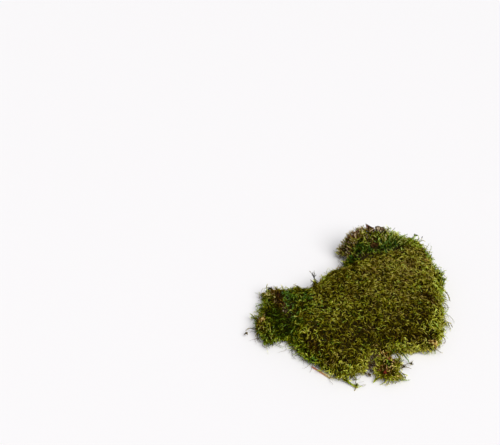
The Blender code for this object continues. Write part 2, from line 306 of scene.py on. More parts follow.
skin = corners_of(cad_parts["moss_mat"])
bed_points, bed_faces = merged(skin)
bed_points = relaxed(bed_points, bed_faces, BED_ROUNDS, BED_SHARE)
bed_points = inset(bed_points, bed_faces, BED_INSET - np.minimum(swell(bed_points), 0))
bed_points[:, 2] = np.maximum(bed_points[:, 2], BED_FLOOR)
bed_points[:, 0] = np.maximum(bed_points[:, 0], TIP_FROM + TIP_SHARE * (bed_points[:, 0] - TIP_FROM))
bed = new_piece("dead_bed", bed_points, bed_faces, felt_and_shade, smooth=True)
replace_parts(bed, "moss_mat")

# ------------ old shoots
# Last year's shoots fill the mat just under its surface: short, dull and brown-green, on the same
# stems as the living ones above them. They close the gaps between those with a dark, leafy depth.
NORMAL_REACH = 6.0 * MM
PLUMB_PITCH = 1.0 * MM
PLUMB_SAMPLES = 1_500_000
STEM_SIDES = 3
STEM_RINGS = 4
STEM_TRIANGLES = 2 * STEM_SIDES * (STEM_RINGS - 1) + 2
STEM_THINNING = 0.6
GOLDEN_TURN = math.radians(137.5)
LEAF_LENGTH = 1.35
LEAF_HALF = 0.25
LEAF_BELLY, LEAF_BULGE = 0.42, 0.12
LEAF_TIP, TIP_FORWARD, TIP_SINK = 0.75, 0.35, 0.1
MOST_TRIANGLES = 190_000
OLD_SPACING = 2.85 * MM
ROOT_DEPTHS = (1.0, 0.75, 0.5, 0.3, 0.15)
ROOT_MARGIN = 0.4 * MM
GROUND_GAP = 0.1 * MM
UV_SPAN = (0.004, 0.996)
# Colour up a leaf's UV map, a multiplier at each stop. In between it follows the leaf's age, but the nearly
# black foot is partly painted shade deep in the mat, and the pale, bluish very tip is partly a painted
# highlight.
LEAF_AGE_AND_LIGHT = [
    (0, 0.03, 0.018, 0.004), (0.3, 0.11, 0.08, 0.015), (0.5, 0.55, 0.52, 0.25), (0.7, 1.2, 1.25, 1.9),
    (0.88, 2.05, 2.1, 8.5), (1, 2.8, 2.8, 18),
]
# What shifts the shoots here and there: a shift of the tone, one of the age and painted light, and for each
# route its reach and then its points, x, y, x, y, in millimetres. Each zone below has such a table.
OLD_PATCHES = {
    "by the lobe": (0.4, 0, (34, -80, 4, -74, -46)),
    "by the fold": (0.3, 0, (18, 8, 60, 44, 78)),
}


def soft_normals(corners, reach):
    """Each triangle's outward direction: area normals round it, weighted by exp(-(distance / reach) ** 2)."""
    centre = corners.mean(1)
    square = (centre ** 2).sum(1)
    distance = square[:, None] + square[None, :] - 2 * centre @ centre.T
    return unit(np.exp(-distance / reach ** 2) @ area_normals(corners))


def spread_points(corners, count, rng):
    """Random points on triangles, even by area, and the triangle of each."""
    area = np.linalg.norm(area_normals(corners), axis=1)
    facet = rng.choice(len(area), count, p=area / area.sum())
    a, b = np.sqrt(rng.random(count))[:, None], rng.random(count)[:, None]
    corner = corners[facet]
    return corner[:, 0] * (1 - a) + corner[:, 1] * a * (1 - b) + corner[:, 2] * a * b, facet


def scattered(corners, spacing, rng):
    """Points about that far apart: of many random ones, one is kept in each cube of that size."""
    area = np.linalg.norm(area_normals(corners), axis=1).sum()
    points, facet = spread_points(corners, int(10 * area / spacing ** 2), rng)
    cube = np.floor(points / spacing).astype(np.int64)
    _, first = np.unique(cube, axis=0, return_index=True)
    return points[first], facet[first]


def plumb_maps(corners, pitch, rng):
    """Height of the highest and the lowest skin over each square of the ground, from a cloud of points."""
    points, _ = spread_points(corners, PLUMB_SAMPLES, rng)
    square = np.floor((points[:, :2] - corners.min((0, 1))[:2]) / pitch).astype(np.int64)
    size = square.max(0) + 1
    top, bottom = np.full(size, -1.0), np.full(size, 1.0)
    np.maximum.at(top, (square[:, 0], square[:, 1]), points[:, 2])
    np.minimum.at(bottom, (square[:, 0], square[:, 1]), points[:, 2])
    return top, bottom


def inside(points, margin):
    """True where a point lies between the lowest and the highest skin, by that margin."""
    square = np.floor((points[:, :2] - skin.min((0, 1))[:2]) / PLUMB_PITCH).astype(np.int64)
    within = ((square >= 0) & (square < skin_top.shape)).all(1)
    square = np.clip(square, 0, np.array(skin_top.shape) - 1)
    high, low = skin_top[square[:, 0], square[:, 1]], skin_bottom[square[:, 0], square[:, 1]]
    return within & (points[:, 2] < high - margin) & (points[:, 2] > low + margin)


def bent_stems(root, rise, heading, length, lift, curl, swing, steps):
    """Stems (shoot, step, xyz), each the running sum of a direction that turns from its rise towards its
    heading, by angles that run from lift to curl, while the heading swings sideways."""
    along = np.linspace(0, 1, steps)
    bend = lift[:, None] + (curl - lift)[:, None] * along
    side = swing[:, None] * (along - 0.3)
    across = np.cross(rise, heading)
    level = np.cos(side)[..., None] * heading[:, None] + np.sin(side)[..., None] * across[:, None]
    forward = np.cos(bend)[..., None] * rise[:, None] + np.sin(bend)[..., None] * level
    run = np.cumsum(forward * (length / steps)[:, None, None], axis=1)
    return root[:, None] + np.concatenate([np.zeros((len(root), 1, 3)), run], axis=1)


def ringed(path, radius, across, upward, sides):
    """A ring of points round each step of a path: the step's place plus the radius times cos(turn) across
    and sin(turn) upward, for turns that are even round the ring. The radius is one for each ring
    (..., step, 1), or one for each of its points."""
    turn = np.arange(sides)[:, None] * 2 * math.pi / sides
    around = np.cos(turn) * across[..., None, :] + np.sin(turn) * upward[..., None, :]
    return path[..., None, :] + radius[..., None] * around


def walls(rings, sides):
    """Triangles between rings of points that follow one another: two for each side of each ring."""
    lower = np.arange(rings - 1)[:, None] * sides + np.arange(sides)
    after = np.arange(rings - 1)[:, None] * sides + (np.arange(sides) + 1) % sides
    return np.stack([lower, after, after + sides, lower, after + sides, lower + sides], -1).reshape(-1, 3)


def stem_faces(rings):
    """Triangles of a three-sided tube that is closed at both ends."""
    last = rings * STEM_SIDES
    return np.concatenate([walls(rings, STEM_SIDES), [[0, 2, 1], [last - 3, last - 2, last - 1]]])


def repeated(pattern, points_each, count):
    """The pattern's triangles for each of many parts with the same number of points."""
    return (pattern[None] + points_each * np.arange(count)[:, None, None]).reshape(-1, 3)


def uv_pairs(tones, ages_and_light):
    """A (tone, age and light) pair for each point, kept just inside the UV map."""
    return np.clip(np.stack([tones.ravel(), ages_and_light.ravel()], axis=1), *UV_SPAN)


def leafy(stem, width, tone, age_and_light, lean, rng, core=0.15):
    """Shoots along the given stems as one mesh: points, triangles and a (tone, age) pair for each point.

    A stem is a three-sided tube round its path, its radius the core share of the shoot's width and
    thinning towards its tip. A leaf for each step is two triangles folded on their midrib, as long as its
    share of the shoot's width. It starts on the stem, a golden turn round it from the leaf before, leans
    out by the lean angle, and its tip bends back along the stem.
    """
    count, leaves = len(stem), stem.shape[1] - 1
    along = np.linspace(0, 1, leaves + 1)[None, :]
    forward = unit(np.gradient(stem, axis=1))
    steady = np.cross(forward[:, 0], forward[:, -1]) + 0.05 * unit(rng.normal(size=(count, 3)))
    u_axis = unit(np.cross(forward, steady[:, None]))
    v_axis = np.cross(forward, u_axis)

    ring = np.linspace(0, leaves, STEM_RINGS).astype(int)
    radius = core * width[:, None] * (1 - STEM_THINNING * along[:, ring])
    tube = ringed(stem[:, ring], radius[..., None], u_axis[:, ring], v_axis[:, ring], STEM_SIDES)
    tube_tone = tone[:, None, None] + 0.006 * (np.arange(STEM_SIDES) - 1)
    # The stem sits low on the colour ramp and is darkest at its foot: partly its own dark colour, partly
    # painted shade deep in the mat.
    tube_age_and_light = (0.4 * age_and_light[:, None] * along[:, ring])[..., None]

    spin = rng.uniform(0, 2 * math.pi, (count, 1)) + GOLDEN_TURN * np.arange(leaves)
    out = np.cos(spin)[..., None] * u_axis[:, :-1] + np.sin(spin)[..., None] * v_axis[:, :-1]
    flank = np.cross(forward[:, :-1], out)
    taper = 1.1 - 0.9 * np.abs(along[:, :-1] - 0.5) ** 1.5
    blade = (LEAF_LENGTH * width[:, None] * taper * rng.uniform(0.85, 1.2, (count, leaves)))[..., None]
    tilt = lean * rng.uniform(0.7, 1.3, (count, leaves, 1))
    axis = np.cos(tilt) * forward[:, :-1] + np.sin(tilt) * out
    base = stem[:, :-1]
    belly = base + blade * (LEAF_BELLY * axis + LEAF_BULGE * out)
    tip = base + blade * (LEAF_TIP * axis + TIP_FORWARD * forward[:, :-1] - TIP_SINK * out)
    half = LEAF_HALF * blade * flank
    leaf = np.stack([base, belly + half, tip, belly - half], axis=2)
    leaf_tone = tone[:, None, None] + np.array([0.0, 0.008, 0.0, -0.008])
    # Each leaf's value rises from the shoot's foot to its tip, and from the leaf's base to its tip: partly
    # the leaves' age, partly painted shade deep in the mat and a painted highlight at the tip. A small random
    # mottle lies on that.
    mottle_age_and_light = rng.normal(0, 0.05, (count, leaves)) + age_and_light[:, None] * (0.2 + 0.8 * along[:, :-1])
    leaf_age_and_light = np.clip(mottle_age_and_light, 0.05, 0.92)[..., None] + np.array([-0.04, 0.01, 0.05, -0.01])

    def in_rows(of_tube, of_leaf):
        """One row for each shoot: a value for each point of its tube, then for each point of its leaves."""
        return np.concatenate([np.broadcast_to(of_tube, tube.shape[:3]).reshape(count, -1),
                               np.broadcast_to(of_leaf, leaf.shape[:3]).reshape(count, -1)], axis=1)

    per_tube = STEM_RINGS * STEM_SIDES
    fold = per_tube + 4 * np.arange(leaves)[:, None, None] + np.array([[0, 1, 2], [0, 2, 3]])
    pattern = np.concatenate([stem_faces(STEM_RINGS), fold.reshape(-1, 3)])
    points = np.concatenate([tube.reshape(count, -1, 3), leaf.reshape(count, -1, 3)], axis=1).reshape(-1, 3)
    points[:, 2] = np.maximum(points[:, 2], GROUND_GAP)
    uv = uv_pairs(in_rows(tube_tone, leaf_tone), in_rows(tube_age_and_light, leaf_age_and_light))
    return points, repeated(pattern, per_tube + 4 * leaves, count), uv


def uv_parts(nodes, links):
    """The two parts of the UV map: the one across it and the one up it."""
    layer = nodes.new("ShaderNodeUVMap")
    layer.uv_map = "OFBake"
    split = nodes.new("ShaderNodeSeparateXYZ")
    links.new(layer.outputs["UV"], split.inputs["Vector"])
    return split.outputs["X"], split.outputs["Y"]


def multiplied(nodes, links, colour, tint, share):
    """A colour times a tint, by the given share."""
    mix = nodes.new("ShaderNodeMix")
    mix.data_type = "RGBA"
    mix.blend_type = "MULTIPLY"
    dial(mix, {"Factor": share})
    links.new(colour, mix.inputs[6])
    links.new(tint, mix.inputs[7])
    return mix.outputs[2]


def moss_material(name, kinds):
    """Moss leaves: across the UV map the kind of shoot, by the given colours, and up it the leaf's age and
    light.

    A young tip has the kind's full colour, lightened at its very end, partly as a painted highlight, and the
    foot is nearly black, partly as painted shade deep in the mat.
    """
    material, nodes, links, shader = plain_material(name, 0.55, 0.005)
    across, up = uv_parts(nodes, links)
    kind, age_and_light = ramp_colour(nodes, links, across, kinds), ramp_colour(nodes, links, up, LEAF_AGE_AND_LIGHT)
    links.new(multiplied(nodes, links, kind, age_and_light, 1.0), shader.inputs["Base Color"])
    return material


def planted(spacing, seed):
    """Places for shoots: points spread over the skin and the outward direction at each."""
    points, facet = scattered(skin, spacing, np.random.default_rng(seed))
    return points, outward[facet]


def rooted(place, normal, depth):
    """Roots that deep under the skin, or the nearest of some shallower ones where the mat is too thin."""
    root, reached = place, np.zeros(len(place), bool)
    for share in ROOT_DEPTHS:
        deeper = place - share * depth[:, None] * normal
        fits = inside(deeper, ROOT_MARGIN) & ~reached
        root = np.where(fits[:, None], deeper, root)
        reached |= fits
    return root, reached


def bare_tip(points):
    """1 along the left tip, where the mat runs out in a single thread, and 0 away from it."""
    return near(points, 9, -110, -41, -102, -43)


def patch(points, row):
    """How strong a patch is at some points: the sum of how near they are to its routes."""
    return sum(near(points, *route) for route in row[2:])


def shades(points, rng, tone, age_and_light, patches={}):
    """Tone, and age with its painted light, of a shoot at each point: drawn with a mean and a spread, and
    shifted by the patches.
    """
    drawn = [rng.normal(*span, len(points)) for span in (tone, age_and_light)]
    for row in patches.values():
        strength = patch(points, row)
        drawn = [values + shift * strength for values, shift in zip(drawn, row)]
    return drawn


def plant(name, material, place, normal, tone, age_and_light, rng, length, width, curl, proud,
          lift=(0.0, 0.5), swing=(-2.0, 2.0), leaves=12, lean=0.3, back=0.35, flow=0.0):
    """Adds shoots as pieces of the clump. Each range, in millimetres or radians, is drawn evenly.

    A shoot's height is length * (sin(its steepest bend or a right angle) - sin(lift)) / (curl - lift). Its
    root lies that far under the skin, less the proud height and the swell, and back along its heading,
    which is the flow plus a random direction.
    """
    count = len(place)
    length, width, proud = (rng.uniform(*span, count) * MM for span in (length, width, proud))
    lift, curl, swing = (rng.uniform(*span, count) for span in (lift, curl, swing))
    wild = rng.normal(size=normal.shape) + flow
    heading = unit(wild - (wild * normal).sum(1)[:, None] * normal)
    height = length * (np.sin(np.minimum(curl, math.pi / 2)) - np.sin(lift)) / (curl - lift)
    root, reached = rooted(place, normal, height - proud - swell(place))
    moved = root - back * length[:, None] * heading
    root = np.where(inside(moved, ROOT_MARGIN / 2)[:, None], moved, root)
    stem = bent_stems(root, normal, heading, length, lift, curl, swing, leaves)
    order = np.argsort(place[:, 0])
    order = order[reached[order]]
    parts = np.array_split(order, math.ceil((STEM_TRIANGLES + 2 * leaves) * len(order) / MOST_TRIANGLES))
    for number, part in enumerate(parts, 1):
        points, faces, uv = leafy(stem[part], width[part], tone[part], age_and_light[part], lean, rng)
        new_piece(name if len(parts) == 1 else f"{name}_{number}", points, faces, material, uv)


rng = np.random.default_rng(51)
skin_top, skin_bottom = plumb_maps(skin, PLUMB_PITCH, rng)
outward = soft_normals(skin, NORMAL_REACH)
old_moss = moss_material("old moss", [
    (0, 0.05, 0.022, 0.006), (0.35, 0.085, 0.058, 0.007), (0.65, 0.09, 0.085, 0.006),
    (1, 0.045, 0.085, 0.006),
])
rng = np.random.default_rng(17)
place, normal = planted(OLD_SPACING, 23)
upper = (normal[:, 2] > -0.5) & (bare_tip(place) < 0.2)
place, normal = place[upper], normal[upper]
tone, age_and_light = shades(place, rng, (0.5, 0.12), (0.58, 0.13), OLD_PATCHES)
tone += 0.2 * drift(place, 14 * MM, 31)
plant("old_shoots", old_moss, place, normal, tone, age_and_light, rng, length=(5, 7.5), width=(1, 1.4),
      curl=(1.2, 2), proud=(-2.5, -1), lift=(0.1, 0.6), leaves=8, lean=0.45)

# ------------ where each kind of shoot grows
# The living shoots share one skin. A place belongs to the front tuft, the left lobe, the back fold,
# the rim or, where it is none of them, the open crown, and is given to just one of these.
RIDGE = (34, -2, 66, 9, 78, 24, 92, 44, 96, 58, 90)
LOBE = (42, -84, 14, -88, -20, -86, -52)
TUFT = (24, 24, -84, 27, -97)
TUFT_FOOT = (5, 21.5, -98.5, 22, -101)
LIVING_SPACING = 2.25 * MM
SCRAP_ROOM = 1.2 * MM
SCRAPS = ("bark_flake", "pale_husk", "fold_leaf", "pale_chip", "tan_chip", "corner_leaf", "red_scrap")


def clear_of_scraps(points, room):
    """True where a point is outside every scrap's box in plan, each side of it drawn in by the given room."""
    clear = np.ones(len(points), bool)
    for node in SCRAPS:
        low, high = (np.array(corner)[:2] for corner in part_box(node))
        clear &= ((points[:, :2] < low + room) | (points[:, :2] > high - room)).any(1)
    return clear


place, normal = planted(LIVING_SPACING, 7)
upper = (normal[:, 2] > -0.35) & clear_of_scraps(place, SCRAP_ROOM) & (bare_tip(place) < 0.2)
upper &= near(place, *TUFT_FOOT) < 0.3
place, normal = place[upper], normal[upper]
edge = 0.12 * drift(place, 8 * MM, 5)
is_tuft = near(place, *TUFT) + 0.5 * edge > 0.3
is_lobe = ~is_tuft & (near(place, *LOBE) + edge > 0.33)
is_fold = ~is_tuft & ~is_lobe & (near(place, *RIDGE) + edge > 0.36)
is_rim = ~is_tuft & ~is_lobe & ~is_fold & (normal[:, 2] < 0.72)
is_crown = ~(is_tuft | is_lobe | is_fold | is_rim)

# ------------ crown
# The broad middle of the clump: olive shoots 6 to 9 mm long, which stand close together, lean every
# way and curl over at the top, so that from above each shows as a bent stroke.
CROWN_BARE = (26, -52, -58, -20, -78, 10, -62, 60, -52)
CROWN_GREEN = (36, -60, 8, -56, -20, -62, -52)
CROWN_PATCHY = (46, -50, -60, 0, -80)
# Some rows are painted light and shade. The upper right is lighter and the lower middle darker, as light
# falls on them. The right edge is lighter and yellower, a painted glow of light through the thin leaves. Six
# small spots are darker, painted shade in hollows.
CROWN_PATCHES = {
    "painted sunlight": (0, 0.2, (60, 50, 20, 80, 50)),
    "painted shade": (0.03, -0.07, (45, -20, -55, 0, -50, 60, -50)),
    "fresh": (0.14, 0.1, (24, -50, -4, -31, -21, -18, -33)),
    "painted glow": (0.12, 0.14, (15, 91, 49, 94, 25, 90, -2, 88, -20, 80, -40)),
    "lemon": (0.26, 0.22, (7, -51, -55, -45, -60), (6, -37, -64, -33, -70),
              (8, 84, -22, 76, -36, 70, -46)),
    "bright": (0.14, 0.16, (5, -22, -68, -21, -72), (8, -21, -82, -14, -92), (8, 0, -87, 4, -94)),
    "gold": (-0.1, 0.08, (9, 91, -18, 87, -34)),
    "honey": (-0.05, 0, (44, 56, 20, 80, 52)),
    "tan": (0, 0.2, (11, 48, -65, 62, -63, 76, -58)),
    "below the fold": (0, 0.08, (18, 12, 24, 44, 38, 78, 62)),
    "inside the rim": (-0.06, -0.08, (13, 74, -8, 76, -40)),
    "cool": (0.45, -0.08, (10, -57, -68, -48, -78, -40, -85)),
    "cool neck": (0.27, -0.048, (8, -22, 22, -14, 20)),
    "russet": (-0.36, -0.08, (8, 76, -6, 84, -13), (6, -45, -66, -42, -72, -38, -77)),
    "painted shade spots": (0, -0.2, (6, -18, -63, -12, -66), (9, 34, -44, 36, -42), (7, 4, -55, 7, -55),
               (6, 52, -56, 54, -54), (6, 68, -38, 70, -36), (7, 10, -66, 18, -64)),
    "dim": (0, -0.1, (9, 28, -62, 44, -60)),
}
crown_moss = moss_material("crown moss", [
    (0, 0.14, 0.08, 0.006), (0.18, 0.22, 0.16, 0.008), (0.42, 0.25, 0.222, 0.01), (0.6, 0.38, 0.34, 0.013),
    (0.74, 0.36, 0.4, 0.016), (0.86, 0.18, 0.25, 0.008), (1, 0.07, 0.15, 0.006),
])


def hollow(points):
    """1 in the hollow between the crown and the turned-up fold, falling to 0 round it."""
    return np.maximum(near(points, 10, 0, 51, 8, 53, 15, 57),
                      0.8 * near(points, 7, 20, 71, 37, 74, 50, 76, 60, 79))


rng = np.random.default_rng(101)
mine, up = place[is_crown], normal[is_crown]
pitted = near(mine, *CROWN_BARE) * (drift(mine, 5 * MM, 47) < -0.9) > 0.3
mine, up = mine[~pitted], up[~pitted]
notch = hollow(mine)
green = near(mine, *CROWN_GREEN) + 2.2 * notch
greener = 0.38 * green * rng.uniform(0.3, 1.0, len(mine))
tone, age_and_light = shades(mine, rng, (0.45, 0.17), (0.72, 0.23), CROWN_PATCHES)
tone += greener + 0.08 * drift(mine, 20 * MM, 3)
# Where the painted glow of the right edge and the lemon patches lie, the tone is held on the yellow side.
yellow = patch(mine, CROWN_PATCHES["painted glow"]) + patch(mine, CROWN_PATCHES["lemon"])
tone = np.minimum(tone, np.where(yellow > 0.25, 0.74, 1.0))
age_and_light += 0.03 * drift(mine, 9 * MM, 41) + 0.07 * near(mine, *CROWN_PATCHY) * (drift(mine, 7 * MM, 43) - 0.9)
# The greener zones are a little darker, and the hollow under the fold is much darker: painted shade under the
# fold.
age_and_light -= 0.1 * green + 0.36 * notch
plant("crown_shoots", crown_moss, mine, up, tone, age_and_light, rng, length=(6.5, 10), width=(0.75, 1.05),
      curl=(1.3, 2.1), proud=(-1.8, 1), lift=(0.05, 0.4), swing=(-2.4, 2.4), leaves=13, lean=0.24)

# ------------ rim
# Round the torn edge the shoots get more light: they are longer, straighter and fresher, and stick
# out over the ground past the felt that they grow from. Long and thin young ones stand out beyond them.
BACK_EDGE = (70, 104, 104, 60, 104, 10, 98, -34)
DARK_EDGE = (24, -92, 14, -104, -20, -84, -60, -56, -72, -44, -84)
RIM_THIN = (20, 84, 94, 104, 60, 104, 10, 98, -34)
SHORT_EDGES = [(14, -104, -28, -98, -52), (10, -46, 14, -20, 30), (10, -3, 56, 0, 78)]
# Along the back and right edges the shoots are lighter: painted light shining through them.
RIM_PATCHES = {
    "painted back light": (0, 0.18, (26, *BACK_EDGE)),
    "green": (0.34, -0.1, (22, -66, -44, -54, -62, -44, -82), (30, 60, 108, 104, 60)),
    "greenish": (0.204, -0.06, (12, 98, 10, 96, 30)),
    "lemon": (0.2, 0.14, (12, 88, -28, 83, -38, 78, -46), (14, 52, -62, 70, -60),
              (12, -20, -84, 6, -96)),
    "gold": (-0.16, 0, (14, 98, -16, 94, -36)),
    "tan": (-0.14, 0.14, (12, 48, -65, 62, -63, 76, -58)),
    "dim": (0, -0.14, (10, 28, -64, 44, -62)),
}
SKIRT_BARE = [(7, -42, -85, -26, -98), (6, 70, -66, 78, -65)]
SKIRT_PATCHES = {
    "dark edge": (0.4, -0.2, DARK_EDGE),
    "by the bay": (-0.1, 0, (12, 10, -80, 10, -90)),
    "tan": (-0.08, 0.2, (12, 48, -68, 62, -66, 76, -62)),
    "russet": (-0.35, -0.2, (9, 2, 64, -2, 76)),
}
rim_moss = moss_material("rim moss", [
    (0, 0.16, 0.09, 0.01), (0.2, 0.26, 0.2, 0.012), (0.45, 0.34, 0.32, 0.014), (0.68, 0.48, 0.5, 0.02),
    (0.84, 0.27, 0.37, 0.014), (1, 0.09, 0.18, 0.01),
])


def drawn_in(points):
    """1 where the torn edge is close and short, at the left end, behind the neck and at the fold's left
    end, and 0 where long shoots may stand out from it."""
    return np.maximum.reduce([near(points, *route) for route in SHORT_EDGES])


rng = np.random.default_rng(102)
is_rim &= rng.random(len(place)) > 0.3 * near(place, *RIM_THIN)
mine, up = place[is_rim], normal[is_rim]
lifted = np.where(up[:, 1:2] < -0.2, 0.05, 0.35) * [0, 0, 1]
tone, age_and_light = shades(mine, rng, (0.46, 0.15), (0.82, 0.17), RIM_PATCHES)
tone += 0.1 * drift(mine, 20 * MM, 13)
plant("rim_shoots", rim_moss, mine, unit(up + lifted), tone, age_and_light, rng, length=(6.5, 11), width=(0.9, 1.25),
      curl=(0.6, 1.8), proud=(-2.5, 2))

# The skirt: two short shoots from each low place of the edge, which lean down to the ground and hide it.
low = (normal[:, 2] < 0.6) & (place[:, 2] < 9 * MM) & (normal[:, 1] < 0.3)
low &= np.maximum(*(near(place, *route) for route in SKIRT_BARE)) < 0.5
mine = np.repeat(place[low], 2, axis=0)
up = unit(np.repeat(normal[low], 2, axis=0) * [1, 1, 0.3] - [0, 0, 0.35] + rng.normal(0, 0.2, mine.shape))
tone, age_and_light = shades(mine, rng, (0.52, 0.14), (0.8, 0.15), SKIRT_PATCHES)
plant("rim_skirt", rim_moss, mine, up, tone, age_and_light, rng, length=(5, 9), width=(0.8, 1.2),
      curl=(0.4, 1.5), proud=(-0.5, 2.5), leaves=10, back=0.1)

# The fringe: long shoots in tufts along the steep edge. The whiskers: thin young ones, most at the back.
steep = np.abs(normal[:, 2]) < 0.6
mine, up = place[steep], unit(normal[steep] + [0, 0, 0.4])
chosen = rng.random(len(mine)) < 0.19 + 0.14 * drift(mine, 12 * MM, 61) - 0.8 * drawn_in(mine)
mine, up = mine[chosen], up[chosen]
tone, age_and_light = shades(mine, rng, (0.55, 0.15), (0.94, 0.1))
dark = near(mine, *DARK_EDGE)
tone += 0.35 * np.maximum(dark, near(mine, 34, 60, 108, 104, 60, 104, 10))
plant("rim_fringe", rim_moss, mine, up, tone, age_and_light - 0.2 * dark, rng, length=(8, 13), width=(0.9, 1.3),
      curl=(0.3, 1.5), proud=(1, 4.5), leaves=14, back=0.1)
mine, up = place[steep], unit(normal[steep] + [0, 0, 0.3])
chosen = rng.random(len(mine)) < 0.22 + 0.3 * near(mine, 30, *BACK_EDGE) - drawn_in(mine)
mine, up = mine[chosen], up[chosen]
tone, age_and_light = shades(mine, rng, (0.65, 0.2), (0.88, 0.12))
plant("rim_whiskers", rim_moss, mine, up, tone, age_and_light, rng, length=(9, 15), width=(0.5, 0.8),
      curl=(0.2, 2), proud=(1, 5.5), lift=(0, 0.6), swing=(-3, 3), leaves=14, back=0.1)

# ------------ back fold
# At the back the mat is turned up on itself. Its outer side shows longer, older shoots: brown and
# spiky at the left end, dark green in the hollow and fresh green towards the right.
FOLD_CENTRE = (0.045, 0.055, 0.0)
FOLD_LEFT = (22, -4, 66, 4, 84, 22, 98)
FOLD_RIGHT = (15, 48, 92, 66, 88, 76, 80)
CLEFT = (9, -1, 62, 5, 57)
LEDGE = (8, 78, 89, 86, 79)
# Two rows are painted shade: the dark one in the cleft under the fold's overhanging left end, and the blue
# one, whose teal green is darkened along the hollow under the fold.
FOLD_PATCHES = {
    "brown": (-0.34, 0.11, (26, -4, 66, 4, 84, 20, 98)),
    "blue": (0.42, -0.16, (8, 12, 60, 16, 64, 24, 72), (9, 40, 76, 50, 78)),
    "fresh": (0.14, 0.33, (24, 50, 76, 70, 90)),
    "dark": (-0.3, -0.3, (7, 4, 64, 6, 68)),
    "dim": (-0.15, -0.15, (8, 30, 78, 36, 80)),
    "rosy": (-0.34, 0.12, (6, 22, 68, 24, 67)),
    "faintly rosy": (-0.238, 0.084, (5, 40, 73, 42, 72)),
}
fold_moss = moss_material("fold moss", [
    (0, 0.15, 0.06, 0.01), (0.14, 0.31, 0.2, 0.032), (0.28, 0.41, 0.34, 0.042), (0.46, 0.36, 0.345, 0.018),
    (0.66, 0.33, 0.41, 0.018), (0.85, 0.12, 0.2, 0.008), (1, 0.05, 0.12, 0.007),
])
rng = np.random.default_rng(103)
mine, up = place[is_fold], normal[is_fold]
tone, age_and_light = shades(mine, rng, (0.48, 0.18), (0.79, 0.25), FOLD_PATCHES)
# The hollow under the fold is greener, and darker with painted shade.
tone += 0.5 * hollow(mine)
age_and_light += patch(mine, FOLD_PATCHES["brown"]) * rng.normal(0, 0.14, len(mine)) - 0.26 * hollow(mine)
outwards = unit(mine - FOLD_CENTRE)
plant("fold_shoots", fold_moss, mine, unit(up + 0.35 * outwards), tone, age_and_light, rng,
      length=(7.5, 13.5), width=(0.8, 1.15), curl=(0.4, 1.6), proud=(-2, 3), lift=(0, 0.4),
      swing=(-1.6, 1.6), flow=1.2 * outwards)

# The bristles: stiff old shoots that stand out from the fold's two ends.
left, right = near(mine, *FOLD_LEFT), near(mine, *FOLD_RIGHT)
chosen = (np.abs(up[:, 2]) < 0.8) & (rng.random(len(mine)) < 0.6 * np.maximum(left, right) - drawn_in(mine))
tone = (np.where(left > right, 0.16, 0.84) + rng.normal(0, 0.12, len(mine)))[chosen]
age_and_light = rng.normal(0.72, 0.22, chosen.sum())
plant("fold_bristles", fold_moss, mine[chosen], unit(up + 0.5 * outwards)[chosen], tone, age_and_light, rng,
      length=(9, 15), width=(0.85, 1.3), curl=(0.1, 0.9), proud=(0.5, 5), lift=(0, 0.3),
      swing=(-1, 1), leaves=14, back=0.1, flow=2 * outwards[chosen])

# Dark green shoots fill the hollow under the fold and the cleft at its left end, and fresh ones its ledge.
sheltered = np.maximum(hollow(place) * (place[:, 0] > 5 * MM), near(place, *CLEFT))
steep = np.minimum(sheltered, -2 * normal[:, 1]) > 0.3
mine, up = np.repeat(place[steep], 2, axis=0), np.repeat(normal[steep], 2, axis=0)
# Their dark colour is partly painted shade in the hollow and the cleft.
tone, age_and_light = shades(mine, rng, (0.84, 0.2), (0.6, 0.24))
plant("hollow_shoots", fold_moss, mine, unit(up + [0, -0.1, 1]), tone, age_and_light, rng, length=(7, 11),
      width=(0.9, 1.2), curl=(0.4, 1.5), proud=(0, 2.5), lift=(0, 0.4))
ledge = near(place, *LEDGE) > 0.3
mine, up = place[ledge], unit(normal[ledge] + [0, -0.2, 0.4])
tone, age_and_light = shades(mine, rng, (0.66, 0.15), (0.84, 0.18))
plant("ledge_shoots", rim_moss, mine, up, tone, age_and_light, rng, length=(6.5, 10), width=(0.85, 1.15),
      curl=(0.5, 1.6), proud=(0, 2.5), lift=(0, 0.4))

# ------------ left lobe
# A low flap that hangs off the crown by a neck: dark green, with a brown outer edge and an olive
# knob. Between knob and neck stand brown, bristly old shoots round the strip of bark.
VALLEY_BED = (17, -76, -22, -68, -34, -61, -46)
# The valley row darkens the valley between the lobe and the crown with painted shade, on a greener tone.
LOBE_PATCHES = {
    "bristly": (-0.6, -0.12, (8, -72, 7, -71, 1, -70, -9)),
    "brown": (-0.42, -0.06, (14, -96, -20, -94, -42)),
    "olive": (-0.24, 0.2, (14, -88, 12, -80, 4)),
    "blue": (0.38, 0.26, (13, -62, 4, -62, -14)),
    "valley": (0.22, -0.56, (16, -76, -20, -72, -36, -66, -52)),
    "rusty": (-0.5, -0.06, (6, -78, -15, -70, -17, -62, -18)),
}
lobe_moss = moss_material("lobe moss", [
    (0, 0.13, 0.055, 0.008), (0.2, 0.36, 0.25, 0.03), (0.4, 0.4, 0.36, 0.025), (0.6, 0.28, 0.34, 0.014),
    (0.8, 0.14, 0.24, 0.01), (1, 0.08, 0.165, 0.008),
])
rng = np.random.default_rng(104)
mine, up = place[is_lobe], normal[is_lobe]
tone, age_and_light = shades(mine, rng, (0.62, 0.13), (0.76, 0.18), LOBE_PATCHES)
age_and_light += 0.05 * drift(mine, 8 * MM, 53) + patch(mine, LOBE_PATCHES["valley"]) * rng.normal(0, 0.12, len(mine))
plant("lobe_shoots", lobe_moss, mine, up, tone, age_and_light, rng, length=(6, 10), width=(0.85, 1.2),
      curl=(0.8, 1.9), proud=(-2.5, 1.5))
bristly = patch(mine, LOBE_PATCHES["bristly"]) > 0.15
mine, up = np.repeat(mine[bristly], 2, axis=0), np.repeat(up[bristly] + [0, 0.3, 0.4], 2, axis=0)
up = unit(up + rng.normal(0, 0.3, up.shape))
